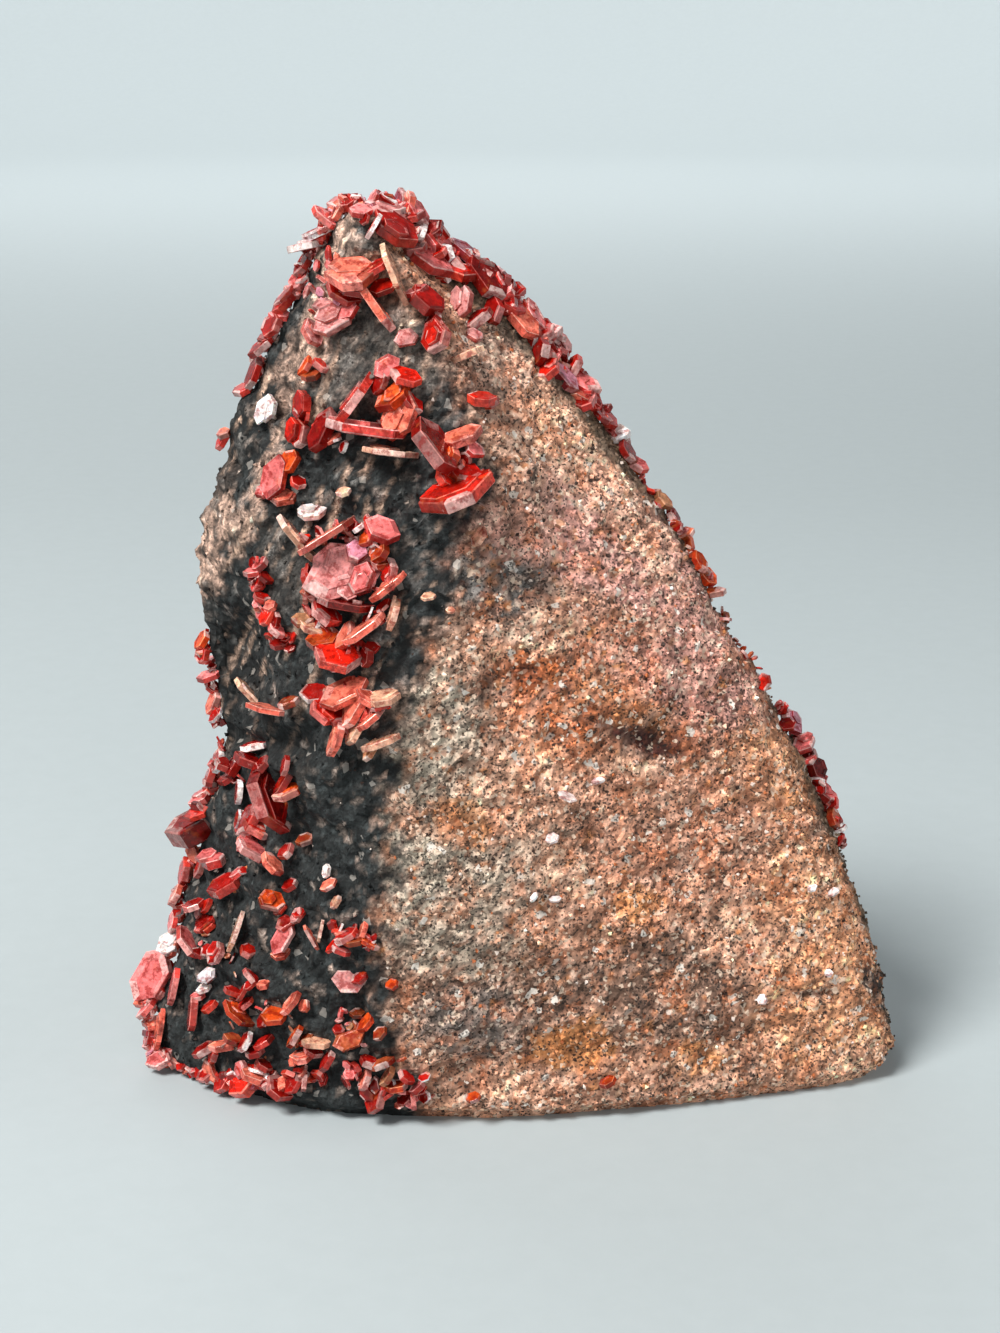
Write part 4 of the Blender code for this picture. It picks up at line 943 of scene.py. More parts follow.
FRONT_GROUPS = {
    "crown_left": [
        (-15.7, 46.3, 2.8, 1.0, 10, 55, "red"), (-17.5, 45.0, 2.4, 0.9, -40, 60, "pink"),
        (-18.8, 43.7, 2.8, 0.9, 25, 80, "glint"), (-19.6, 42.1, 3.0, 0.9, 12, 80, "glint"),
        (-16.9, 46.0, 2.2, 0.9, 60, 50, "salmon"), (-18.4, 44.4, 2.0, 0.8, 80, 55, "red"),
        (-18.0, 42.6, 1.8, 0.7, -30, 50, "pink"), (-19.8, 40.4, 2.2, 0.8, 60, 60, "red"),
    ],
    "crown_band": [
        (-12.7, 46.2, 2.4, 1.0, 60, 60, "pink"), (-11.4, 44.9, 3.6, 1.1, -20, 40, "dusty"),
        (-10.0, 46.2, 3.0, 1.0, 30, 60, "red"), (-8.7, 47.0, 2.4, 0.9, 80, 62, "salmon"),
        (-8.2, 45.6, 2.8, 1.0, -60, 55, "pink"), (-10.6, 43.6, 4.2, 1.5, -35, 50, "red"),
        (-7.8, 43.0, 2.4, 0.7, 70, 80, "glint"), (-12.6, 43.8, 2.2, 0.6, 60, 78, "glint"),
        (-13.9, 45.4, 2.2, 0.8, -10, 50, "pink"), (-9.2, 44.8, 2.4, 0.9, 10, 55, "red"),
        (-7.3, 40.6, 4.2, 1.3, -35, 60, "pink"), (-5.5, 42.3, 2.4, 0.9, -50, 50, "pink"),
        (-4.2, 39.4, 3.0, 1.2, -20, 55, "bright"), (-3.4, 41.4, 2.8, 1.0, -40, 60, "lilac"),
        (-8.6, 41.8, 2.6, 1.0, 10, 50, "red"), (-5.8, 39.4, 2.4, 1.0, 60, 50, "red"),
        (-1.3, 38.6, 4.2, 1.6, -55, 45, "deep"), (0.3, 39.0, 2.6, 1.0, -60, 65, "pink"),
        (1.6, 37.7, 2.4, 1.0, 0, 40, "red"), (-2.6, 40.0, 2.4, 1.0, 20, 60, "red"),
        (-3.7, 36.2, 2.4, 1.0, 80, 40, "dusty"), (-2.2, 34.6, 2.2, 1.1, 40, 55, "red"),
        (-0.7, 35.3, 2.8, 1.2, 70, 45, "deep"), (1.2, 35.8, 2.6, 1.1, -30, 60, "red"),
        (2.3, 34.4, 3.2, 1.3, -50, 45, "salmon"), (3.9, 35.6, 2.8, 1.0, -60, 60, "pink"),
        (4.2, 33.3, 2.6, 1.2, 30, 50, "red"), (6.0, 32.3, 2.8, 1.1, -60, 55, "dusty"),
        (4.0, 31.3, 2.4, 1.1, 80, 60, "deep"), (0.4, 37.2, 2.6, 1.0, 40, 50, "pink"),
        (4.9, 29.6, 2.4, 1.1, 40, 50, "bright"), (6.5, 28.8, 2.8, 1.2, -50, 55, "lilac"),
        (8.5, 28.4, 3.0, 1.3, -30, 45, "pink"), (9.6, 27.2, 2.4, 1.1, -70, 60, "red"),
        (8.4, 26.4, 2.6, 1.1, 20, 50, "deep"), (5.4, 33.9, 2.2, 0.9, 10, 50, "pink"),
        (7.4, 30.0, 2.4, 1.0, 60, 60, "red"), (2.9, 36.6, 2.2, 0.9, -20, 50, "red"),
    ],
    "right_edge_upper": [
        (10.8, 24.7, 2.2, 0.9, -50, 60, "red"), (11.8, 23.2, 2.4, 0.9, 10, 45, "pale"),
        (12.9, 21.7, 2.2, 0.9, -60, 60, "deep"), (13.8, 20.2, 2.0, 0.9, -30, 50, "pink"),
        (12.2, 22.4, 1.8, 0.8, 50, 50, "dusty"), (10.2, 25.6, 1.8, 0.8, 30, 55, "deep"),
    ],
    "right_edge_middle": [
        (16.4, 16.6, 1.8, 0.9, -50, 50, "tan"), (17.4, 15.0, 1.8, 0.8, -60, 60, "deep"),
        (18.4, 13.2, 1.8, 0.8, 20, 50, "brown"),
    ],
    "right_edge_orange": [
        (20.0, 10.6, 1.8, 0.9, -60, 50, "orange"), (20.7, 9.0, 2.2, 1.0, -50, 55, "orange"),
        (21.5, 7.4, 1.6, 0.8, 10, 60, "brown"),
    ],
    "right_edge_lower": [
        (29.7, -5.1, 2.4, 1.0, -60, 55, "lilac"), (30.6, -7.6, 2.4, 1.0, 20, 45, "pink"),
        (31.7, -10.2, 2.8, 1.2, -70, 50, "deep"), (32.5, -12.7, 2.6, 1.0, -40, 55, "pink"),
        (33.4, -15.3, 2.2, 1.0, -70, 60, "brown"), (31.0, -9.0, 2.0, 0.8, 60, 60, "red"),
        (31.2, -11.6, 1.8, 0.8, 10, 50, "pale"), (33.0, -13.9, 1.8, 0.8, 40, 50, "red"),
    ],
    "left_shoulder": [
        (-20.3, 38.6, 2.4, 1.0, 60, 50, "pink"), (-21.6, 36.6, 2.6, 1.1, 50, 60, "red"),
        (-22.9, 34.2, 2.6, 1.0, 70, 55, "red"), (-24.0, 31.9, 2.2, 0.9, 40, 60, "deep"),
        (-20.9, 37.6, 1.8, 0.8, -20, 50, "dusty"), (-22.3, 35.3, 1.8, 0.8, 0, 50, "pink"),
        (-23.4, 33.0, 1.8, 0.8, 20, 50, "deep"),
    ],
    "left_rim": [
        (-24.9, 29.4, 2.2, 0.9, 70, 60, "deep"), (-25.9, 27.8, 1.8, 0.8, 30, 50, "red"),
        (-24.4, 30.6, 1.6, 0.7, -10, 50, "brown"),
    ],
    "upper_tablet": [
        (-14.6, 38.9, 4.6, 1.3, 5, 48, "salmon"), (-15.6, 37.2, 2.8, 1.0, -30, 40, "red"),
        (-12.4, 36.0, 4.0, 1.0, -55, 80, "salmon"), (-11.6, 37.8, 2.2, 0.8, 20, 40, "bright"),
        (-10.6, 39.2, 4.6, 0.7, -68, 82, "cream"), (-16.6, 34.6, 3.8, 1.1, 30, 30, "dusty"),
        (-18.6, 33.2, 2.4, 0.9, -60, 50, "dusty"), (-15.2, 35.6, 2.2, 0.8, 60, 35, "pink"),
        (-12.6, 39.6, 2.6, 0.8, 30, 60, "red"), (-17.6, 36.0, 1.8, 0.7, 10, 40, "dusty"),
        (-14.2, 37.4, 2.4, 0.8, -10, 55, "pink"),
    ],
    "small_trio": [
        (-19.4, 29.9, 1.5, 0.8, 60, 60, "orange"), (-17.9, 30.0, 1.5, 0.8, -40, 60, "bright"),
        (-18.8, 29.0, 1.4, 0.8, 10, 50, "brown"),
    ],
    "pale_hexagon": [(-9.4, 32.8, 2.1, 0.8, 10, 15, "dusty")],
    "red_block": [
        (-7.3, 36.3, 3.2, 1.6, -42, 50, "red"), (-6.3, 32.9, 2.8, 1.6, 75, 35, "bright"),
        (-6.6, 34.6, 1.8, 1.0, 60, 60, "deep"), (-8.4, 37.4, 1.8, 0.7, 20, 60, "pink"),
    ],
    "cream_bar": [
        (-3.3, 31.0, 3.2, 0.8, 23, 82, "cream"), (-2.5, 33.0, 1.6, 0.7, -30, 40, "dusty"),
    ],
    "central_cluster": [
        (-11.3, 29.9, 2.4, 0.9, 30, 12, "pink"), (-9.4, 28.9, 2.6, 1.0, -15, 50, "bright"),
        (-10.6, 26.9, 3.2, 1.2, 40, 50, "orange"), (-10.0, 24.9, 4.0, 1.2, 70, 30, "salmon"),
        (-13.3, 23.6, 7.0, 1.1, -8, 80, "pink"), (-14.5, 26.5, 4.4, 1.1, 54, 80, "red"),
        (-17.7, 23.5, 3.2, 1.5, 65, 45, "deep"), (-19.8, 26.0, 2.8, 1.1, 88, 60, "red"),
        (-20.0, 23.2, 2.8, 1.3, 80, 45, "bright"), (-10.8, 21.3, 4.6, 0.7, -7, 82, "cream"),
        (-11.9, 28.2, 2.0, 0.8, 70, 50, "red"), (-8.6, 26.2, 2.0, 0.8, -50, 50, "red"),
        (-6.5, 22.0, 5.6, 1.7, -53, 64, "deep"), (-3.8, 22.9, 2.8, 1.2, 20, 50, "salmon"),
        (-5.0, 20.6, 2.4, 1.2, 60, 60, "orange"), (-3.4, 19.2, 2.8, 1.2, -10, 45, "red"),
        (-4.3, 17.2, 6.4, 1.6, 22, 66, "bright"), (-1.9, 18.6, 2.4, 1.0, 40, 60, "bright"),
        (-2.6, 21.6, 2.0, 0.8, -40, 50, "pink"), (-5.4, 18.8, 2.4, 1.0, -60, 60, "bright"),
    ],
    "white_plate": [(-23.2, 25.7, 2.4, 0.8, 80, 40, "pale")],
    "lone_red": [
        (-1.8, 26.6, 2.4, 1.1, -5, 60, "bright"), (-0.9, 26.3, 1.6, 0.8, 40, 50, "orange"),
    ],
    "left_middle": [
        (-20.9, 20.4, 2.2, 1.0, 60, 40, "orange"), (-22.4, 18.9, 3.4, 1.1, 80, 30, "pink"),
        (-21.4, 17.0, 2.6, 0.9, 10, 45, "salmon"), (-23.4, 17.6, 1.8, 0.8, 30, 40, "pink"),
        (-20.2, 18.4, 1.6, 0.7, -30, 50, "red"),
    ],
    "white_chip": [(-18.6, 15.4, 2.3, 0.8, 5, 45, "pale")],
    "rosette": [
        (-15.2, 9.4, 7.0, 1.5, 15, 8, "rose"), (-19.9, 12.4, 4.6, 0.8, -50, 82, "cream"),
        (-17.2, 13.0, 5.6, 0.8, 32, 82, "salmon"), (-11.9, 13.6, 2.9, 1.2, -20, 40, "pink"),
        (-11.9, 11.4, 2.2, 1.0, 60, 60, "orange"), (-11.0, 9.5, 2.4, 0.9, 80, 60, "red"),
        (-11.2, 7.9, 3.4, 0.8, 39, 78, "salmon"), (-13.5, 3.8, 5.0, 0.9, 36, 78, "salmon"),
        (-10.6, 5.2, 2.6, 0.8, 75, 78, "cream"), (-17.2, 5.3, 3.4, 1.1, -40, 50, "red"),
        (-17.6, 2.8, 3.0, 1.1, 10, 50, "orange"), (-15.9, 1.0, 4.8, 1.3, -15, 48, "bright"),
        (-13.3, 1.0, 2.2, 1.0, 85, 60, "red"), (-19.7, 4.6, 2.0, 1.0, 0, 40, "tan"),
        (-13.0, 13.0, 2.2, 0.9, 50, 50, "orange"), (-18.9, 8.2, 3.0, 0.9, -70, 70, "red"),
        (-11.8, 10.4, 2.0, 0.8, 10, 50, "brown"), (-15.4, 3.0, 2.8, 0.9, 60, 60, "salmon"),
        (-18.6, 3.8, 2.2, 0.8, -20, 60, "cream"), (-14.9, 6.2, 4.2, 0.9, -10, 74, "deep"),
        (-16.8, 10.9, 2.6, 2.6, 40, 16, "rose"), (-14.3, 11.2, 2.2, 2.5, -20, 20, "lilac"),
        (-13.6, 8.6, 2.4, 2.6, 70, 14, "pink"), (-16.9, 8.2, 2.6, 2.5, 10, 18, "salmon"),
        (-15.2, 7.4, 2.4, 2.4, -35, 20, "rose"),
    ],
    "left_chain_high": [
        (-23.9, 10.1, 1.7, 0.8, 40, 60, "pink"), (-24.2, 8.5, 1.8, 0.8, 80, 55, "red"),
        (-24.6, 9.4, 1.5, 0.7, 10, 60, "pink"), (-23.4, 8.9, 1.4, 0.7, -40, 50, "deep"),
    ],
    "left_chain_low": [
        (-23.7, 6.8, 1.8, 0.8, -20, 60, "red"), (-23.2, 5.0, 1.8, 0.8, 60, 50, "bright"),
        (-22.3, 3.7, 1.8, 0.8, -40, 60, "pink"), (-21.9, 2.3, 1.6, 0.8, 10, 50, "red"),
        (-22.9, 6.0, 1.5, 0.7, 30, 50, "salmon"), (-22.4, 4.6, 1.4, 0.7, 80, 50, "deep"),
    ],
    "ledge_cluster": [
        (-15.4, -2.5, 3.8, 1.1, 25, 40, "salmon"), (-18.4, -2.6, 2.4, 0.9, 5, 40, "glint"),
        (-17.3, -4.5, 3.4, 1.1, -40, 50, "bright"), (-14.4, -4.0, 3.2, 1.1, 60, 55, "salmon"),
        (-11.6, -3.3, 3.2, 0.8, 10, 72, "cream"), (-12.9, -5.2, 3.0, 0.8, 40, 76, "salmon"),
        (-16.3, -7.0, 3.6, 0.9, 75, 74, "salmon"), (-14.6, -6.6, 2.0, 0.9, 60, 60, "cream"),
        (-17.8, -3.4, 2.4, 0.9, 60, 55, "red"), (-15.8, -5.0, 2.6, 0.9, 10, 50, "red"),
        (-13.2, -3.2, 2.4, 0.8, -30, 60, "salmon"),
    ],
    "ledge_cream_bar": [
        (-11.9, -7.6, 3.0, 0.8, 20, 82, "cream"), (-12.9, -8.3, 1.8, 0.7, 60, 60, "tan"),
    ],
    "ledge_long_bar": [
        (-24.9, -2.7, 3.2, 0.7, -46, 82, "cream"), (-22.6, -4.3, 4.0, 0.7, -10, 82, "salmon"),
        (-21.0, -3.6, 2.2, 0.7, 20, 70, "brown"),
    ],
    "left_edge_upper": [
        (-30.3, 2.6, 2.0, 0.9, 60, 60, "orange"), (-31.0, 0.6, 2.0, 0.9, 80, 50, "red"),
        (-31.0, -1.3, 2.0, 0.8, 20, 60, "pink"), (-30.8, -3.6, 2.2, 0.9, 70, 60, "salmon"),
        (-30.4, 1.4, 1.5, 0.7, 10, 50, "brown"), (-30.6, -2.4, 1.5, 0.7, -40, 50, "red"),
    ],
    "under_ledge_left": [
        (-28.2, -9.4, 2.2, 0.9, 75, 66, "glint"), (-28.9, -9.1, 1.6, 0.8, 40, 68, "red"),
        (-26.5, -10.0, 2.4, 1.1, 60, 68, "deep"), (-27.4, -9.8, 2.0, 0.9, -20, 68, "red"),
        (-28.4, -12.2, 2.4, 1.0, 10, 76, "red"), (-27.2, -11.2, 1.8, 0.8, 30, 68, "deep"),
    ],
    "left_rim_low": [
        (-30.4, -10.6, 2.4, 1.0, 70, 76, "red"), (-31.0, -13.1, 2.4, 1.0, 30, 68, "pink"),
        (-29.6, -11.6, 1.8, 0.8, -10, 76, "deep"), (-30.0, -13.6, 2.0, 0.9, 60, 68, "red"),
        (-31.4, -11.8, 1.6, 0.8, 50, 76, "salmon"),
    ],
    "under_ledge_group": [
        (-24.4, -7.9, 2.4, 0.8, 12, 80, "glint"), (-24.7, -9.4, 2.8, 1.2, -20, 68, "deep"),
        (-22.9, -13.2, 6.2, 1.8, -72, 64, "deep"), (-26.0, -12.6, 2.2, 0.8, 85, 76, "glint"),
        (-20.9, -12.4, 2.6, 1.0, 25, 66, "orange"), (-21.6, -11.6, 2.2, 0.9, 60, 68, "red"),
        (-24.9, -15.2, 3.6, 1.3, 60, 68, "red"), (-25.9, -15.6, 2.4, 0.8, 80, 72, "glint"),
        (-23.8, -9.9, 2.2, 0.9, 50, 68, "red"), (-25.4, -17.0, 2.4, 0.9, 70, 70, "pink"),
        (-24.2, -16.2, 2.6, 1.0, -30, 68, "bright"), (-21.4, -9.9, 1.6, 0.7, 80, 68, "red"),
    ],
    "bent_bar": [
        (-24.4, -18.2, 4.2, 1.0, -28, 76, "pink"), (-22.6, -19.6, 2.6, 0.9, -46, 70, "salmon"),
        (-21.3, -18.4, 2.2, 0.8, 44, 66, "red"),
    ],
    "barrel": [
        (-30.4, -16.0, 5.0, 3.0, 28, 62, "deep"), (-32.2, -14.9, 2.0, 0.9, 20, 50, "bright"),
        (-31.8, -17.6, 2.2, 1.0, 60, 50, "red"),
    ],
    "lower_left_group": [
        (-28.5, -19.2, 3.0, 1.3, 15, 68, "pink"), (-27.4, -21.8, 3.5, 1.3, 30, 68, "red"),
        (-30.6, -23.8, 2.4, 0.8, 20, 76, "red"), (-29.3, -23.9, 1.7, 0.7, 60, 68, "bright"),
        (-26.2, -20.6, 1.9, 0.7, 40, 76, "pink"), (-29.9, -20.0, 1.9, 0.8, 70, 68, "red"),
    ],
    "left_rim_foot": [
        (-32.2, -20.2, 2.4, 1.0, 80, 68, "red"), (-32.8, -22.8, 2.3, 0.9, 60, 76, "salmon"),
        (-33.4, -24.9, 2.1, 0.8, 80, 68, "pink"), (-32.0, -22.2, 1.7, 0.7, 20, 76, "deep"),
        (-31.4, -21.2, 1.4, 0.7, -20, 76, "red"),
    ],
    "orange_hexagon": [
        (-22.7, -23.3, 2.4, 0.9, -15, 35, "orange"), (-20.9, -21.8, 1.6, 0.7, 30, 60, "red"),
        (-21.9, -24.2, 1.3, 0.6, 50, 50, "bright"),
    ],
    "pink_hexagon": [
        (-21.8, -27.2, 2.6, 0.8, 60, 30, "pink"), (-20.2, -24.8, 1.6, 0.7, 60, 50, "dusty"),
        (-21.4, -25.6, 1.9, 0.7, 30, 40, "red"), (-21.9, -28.6, 1.7, 0.7, 10, 50, "salmon"),
    ],
    "thin_bar": [
        (-26.3, -26.4, 4.0, 0.6, 70, 82, "cream"), (-29.4, -25.6, 2.4, 0.7, 40, 60, "red"),
    ],
    "left_bars": [
        (-31.1, -27.4, 3.8, 0.8, -54, 76, "pink"), (-28.3, -28.7, 2.3, 0.9, 60, 50, "red"),
        (-29.1, -25.9, 1.7, 0.8, 40, 60, "bright"), (-30.0, -28.6, 1.6, 0.7, -30, 60, "deep"),
    ],
    "big_left_hexagon": [
        (-35.7, -30.8, 4.6, 1.5, 60, 22, "pink"), (-35.3, -27.6, 2.8, 0.9, 30, 40, "pale"),
        (-33.6, -28.2, 2.2, 0.9, 70, 50, "salmon"), (-32.5, -31.9, 3.6, 0.8, 78, 78, "pink"),
        (-34.2, -29.2, 2.2, 0.9, -20, 50, "red"), (-36.4, -32.6, 2.4, 1.0, 30, 50, "salmon"),
        (-34.2, -32.4, 2.2, 0.9, 50, 50, "red"),
    ],
    "foot_corner": [
        (-36.2, -34.3, 2.3, 0.8, 50, 76, "pink"), (-36.6, -36.8, 2.3, 0.8, 80, 68, "pink"),
        (-33.9, -36.3, 3.3, 0.7, 80, 78, "salmon"), (-35.4, -35.6, 2.1, 0.8, 10, 68, "salmon"),
        (-35.6, -37.8, 1.9, 0.8, 40, 68, "dusty"), (-34.9, -33.6, 1.7, 0.7, 60, 76, "red"),
    ],
    "pale_disc": [
        (-15.0, -31.5, 2.9, 0.9, 0, 12, "dusty"), (-13.9, -31.0, 1.6, 0.6, 40, 50, "red"),
    ],
    "rusty_group": [
        (-15.3, -26.8, 1.9, 0.8, 30, 68, "red"), (-13.7, -26.4, 1.7, 0.7, 70, 76, "salmon"),
        (-15.9, -28.3, 1.6, 0.7, -20, 76, "pink"), (-14.6, -27.4, 1.7, 0.7, 10, 68, "brown"),
        (-13.0, -27.6, 1.6, 0.6, -30, 76, "orange"), (-16.6, -27.8, 1.4, 0.6, 50, 68, "bright"),
    ],
    "grey_hexagon": [
        (-29.2, -30.9, 1.9, 0.8, 40, 22, "grey"), (-29.5, -32.1, 1.5, 0.6, 20, 60, "pale"),
    ],
    "middle_chips": [
        (-24.8, -30.9, 1.6, 0.7, -50, 76, "red"), (-23.6, -31.7, 1.5, 0.7, 10, 68, "salmon"),
        (-25.6, -32.4, 1.6, 0.6, 60, 76, "bright"),
    ],
    "lower_bars": [
        (-30.6, -34.5, 2.8, 1.0, 85, 76, "red"), (-28.9, -33.9, 1.9, 0.8, 40, 76, "bright"),
        (-30.2, -32.9, 1.4, 0.6, 10, 68, "pink"),
    ],
    "crossed_bars": [
        (-26.0, -34.6, 3.5, 0.7, -41, 80, "orange"), (-26.5, -32.4, 1.9, 0.7, -20, 76, "bright"),
        (-25.4, -33.6, 1.9, 0.6, 40, 70, "red"),
    ],
    "red_plate": [
        (-22.4, -34.7, 3.0, 1.0, 5, 56, "orange"), (-20.9, -33.6, 1.9, 0.8, 50, 70, "salmon"),
        (-23.6, -35.2, 1.6, 0.7, 60, 50, "deep"),
    ],
    "foot_left": [
        (-29.5, -38.2, 2.1, 0.9, 30, 68, "red"), (-27.6, -37.8, 2.3, 0.8, 10, 70, "salmon"),
        (-25.4, -37.4, 1.9, 0.8, 60, 68, "glint"), (-23.5, -37.4, 2.1, 0.8, 30, 76, "red"),
        (-23.6, -39.7, 1.9, 0.8, -30, 76, "red"), (-26.6, -37.2, 1.9, 0.8, -20, 68, "brown"),
        (-28.6, -38.8, 1.7, 0.8, 70, 68, "bright"), (-24.4, -38.4, 1.9, 0.8, 10, 68, "deep"),
    ],
    "foot_middle": [
        (-20.4, -36.8, 1.9, 0.8, 60, 76, "orange"), (-18.3, -37.5, 2.4, 0.8, -5, 74, "cream"),
        (-19.8, -38.9, 2.4, 0.8, 10, 72, "salmon"), (-17.2, -39.3, 1.9, 0.8, 60, 68, "red"),
        (-19.2, -37.2, 1.6, 0.7, 30, 68, "brown"), (-18.6, -38.4, 1.7, 0.7, -30, 68, "red"),
    ],
    "brown_hexagon": [
        (-14.9, -37.2, 2.5, 0.9, 20, 22, "brown"), (-13.3, -35.5, 1.7, 0.8, 50, 60, "orange"),
        (-16.1, -36.2, 1.3, 0.6, 0, 50, "red"),
    ],
    "foot_right": [
        (-11.8, -39.6, 1.9, 0.8, 20, 76, "brown"), (-13.5, -41.2, 1.9, 0.8, 70, 68, "salmon"),
        (-12.3, -42.9, 2.8, 1.1, 75, 52, "red"), (-10.2, -41.8, 2.1, 0.9, 10, 68, "orange"),
        (-8.3, -42.0, 1.8, 0.8, 40, 76, "pink"), (-13.2, -39.4, 1.9, 0.8, -20, 68, "red"),
        (-11.2, -40.8, 1.7, 0.8, 60, 68, "tan"), (-9.3, -41.0, 1.6, 0.7, -40, 68, "red"),
    ],
    "foot_bundle": [
        (-34.4, -40.3, 2.6, 1.1, 30, 45, "pink"), (-32.4, -41.4, 2.6, 1.1, -30, 55, "salmon"),
        (-30.2, -41.8, 2.8, 1.2, 20, 50, "pink"), (-31.4, -40.2, 2.4, 1.0, 60, 50, "red"),
        (-33.4, -39.4, 2.2, 1.0, 0, 50, "glint"), (-28.4, -42.4, 2.8, 1.0, -20, 66, "glint"),
        (-29.2, -40.6, 2.2, 0.9, 40, 50, "red"), (-31.6, -42.4, 1.9, 0.8, 70, 50, "salmon"),
        (-35.0, -39.0, 2.0, 0.9, 70, 50, "dusty"),
    ],
    "foot_red_bundle": [
        (-27.4, -41.2, 2.6, 1.1, 60, 60, "red"), (-24.9, -42.2, 4.4, 1.9, 50, 50, "bright"),
        (-24.4, -40.8, 2.8, 0.9, -20, 72, "salmon"), (-22.0, -42.0, 2.8, 1.2, -40, 55, "red"),
        (-26.2, -42.6, 2.4, 1.0, 20, 50, "bright"), (-23.2, -41.2, 2.4, 0.9, 30, 60, "deep"),
        (-25.8, -40.2, 1.9, 0.8, 80, 50, "pink"), (-20.6, -41.4, 2.2, 0.9, 60, 50, "red"),
    ],
}

# The same, seen from behind: across grows towards the viewer's right, which is -X here
BACK_GROUPS = {
    "back_crown": [
        (11.6, 43.4, 3.4, 1.2, 20, 40, "red"), (9.6, 42.0, 2.8, 1.0, -40, 50, "pink"),
        (12.8, 41.2, 2.6, 1.0, 60, 45, "deep"), (10.8, 39.8, 3.0, 1.1, 10, 55, "salmon"),
    ],
    "back_shoulder_high": [
        (4.4, 37.2, 3.2, 1.2, 40, 45, "red"), (2.4, 35.8, 2.8, 1.1, -20, 50, "pink"),
        (4.6, 34.4, 2.6, 1.0, 70, 55, "deep"), (1.2, 33.8, 2.6, 1.0, 30, 40, "red"),
        (3.0, 32.4, 2.8, 1.0, -50, 60, "salmon"),
    ],
    "back_shoulder_middle": [
        (-5.0, 26.6, 3.2, 1.2, 50, 45, "pink"), (-6.8, 24.8, 2.8, 1.0, -10, 50, "red"),
        (-4.6, 23.8, 2.6, 1.0, 70, 50, "bright"), (-7.8, 22.6, 2.6, 1.1, 20, 55, "deep"),
    ],
    "back_shoulder_low": [
        (-13.4, 14.8, 3.0, 1.2, 60, 45, "red"), (-15.0, 12.8, 2.8, 1.0, 10, 55, "salmon"),
        (-12.8, 11.8, 2.6, 1.0, -40, 50, "deep"), (-15.6, 10.4, 2.6, 1.0, 40, 45, "pink"),
    ],
    "back_rosette": [
        (4.0, 15.0, 5.4, 1.3, 10, 12, "pink"), (1.2, 16.8, 3.0, 0.8, 50, 80, "salmon"),
        (6.8, 16.6, 3.0, 0.8, -40, 80, "cream"), (5.0, 11.8, 3.2, 0.9, -10, 72, "red"),
    ],
    "back_left_group": [
        (20.0, 20.0, 3.0, 1.1, -40, 45, "red"), (18.4, 18.2, 2.6, 1.0, 30, 50, "orange"),
        (20.8, 17.0, 2.6, 1.0, 80, 55, "pink"),
    ],
    "back_low_group": [
        (-22.0, -4.0, 2.8, 1.1, 40, 50, "salmon"), (-23.8, -6.0, 2.6, 1.0, -20, 45, "red"),
        (-21.6, -6.8, 2.4, 1.0, 70, 55, "deep"),
    ],
}

# Crystals too small or too thin to be parts of their own, then the pale chips in the broken face
LOOSE_CRYSTALS = [
    (-28.4, 22.6, 1.8, 0.8, 60, 60, "red"), (-28.0, 23.4, 1.5, 0.7, 20, 50, "brown"),
    (-19.4, -17.2, 1.6, 0.8, 20, 50, "brown"), (-25.2, -28.4, 1.8, 0.8, -30, 60, "bright"),
    (-17.1, -21.8, 1.5, 0.6, 30, 50, "salmon"), (-17.3, -20.4, 1.2, 0.6, 80, 50, "pale"),
    (-16.4, -23.5, 1.3, 0.6, 60, 60, "cream"), (-17.9, -26.4, 2.2, 0.4, 78, 84, "cream"),
    (-18.8, -27.0, 2.0, 0.4, -60, 84, "salmon"), (-20.0, -24.6, 1.4, 0.6, 10, 50, "red"),
    (-10.8, -31.7, 1.4, 0.6, 40, 50, "orange"), (-24.8, -31.6, 1.3, 0.6, 40, 50, "red"),
    (-2.6, -43.0, 1.4, 0.6, 20, 50, "orange"), (10.8, -41.4, 1.4, 0.8, 30, 62, "orange"),
    (-14.2, -34.6, 1.5, 0.6, 0, 60, "brown"), (-12.0, -36.6, 1.5, 0.6, 50, 50, "brown"),
    (-15.6, 17.4, 1.6, 0.5, 20, 60, "cream"), (-20.9, 46.4, 1.4, 0.5, 30, 60, "salmon"),
    (-29.2, -28.4, 1.6, 0.7, 40, 50, "red"), (-19.5, -33.9, 1.5, 0.6, 50, 50, "salmon"),
    (5.2, -17.1, 1.3, 0.5, 20, 40, "pale"), (3.4, -23.0, 0.8, 0.4, 50, 50, "pale"),
    (5.5, -23.2, 0.9, 0.4, 0, 40, "pale"), (9.8, -11.4, 1.0, 0.4, 15, 60, "pale"),
    (6.6, -12.9, 1.5, 0.4, -25, 60, "pale"), (-7.1, 7.0, 1.1, 0.5, 10, 40, "cream"),
    (-2.1, 12.9, 1.8, 0.6, 55, 50, "cream"), (-5.0, 5.6, 0.8, 0.4, 0, 40, "cream"),
    (31.2, -22.1, 0.9, 0.4, 10, 40, "pale"), (33.3, -22.5, 1.1, 0.5, 40, 45, "pale"),
    (26.2, -33.2, 1.1, 0.5, 60, 45, "pale"), (32.8, -30.6, 0.9, 0.4, 0, 50, "pale"),
    (25.0, -28.5, 0.9, 0.4, 30, 50, "cream"), (22.7, -11.4, 1.0, 0.4, 70, 50, "cream"),
    (6.0, 14.2, 1.1, 0.5, -30, 40, "cream"),
]


# ----------------------------------------------------------------------- druse: the small crystals
#
# Each band is (count, spread, smallest, largest, coats, line): small tablets scattered along a line
# of (across, up) places, within the spread.

RED_COATS = ("red", "red", "deep", "bright", "pink", "deep", "salmon", "glint")
PINK_COATS = ("pink", "salmon", "red", "dusty", "deep", "lilac", "bright", "glint")
DULL_COATS = ("tan", "brown", "deep", "pink", "orange", "dusty")

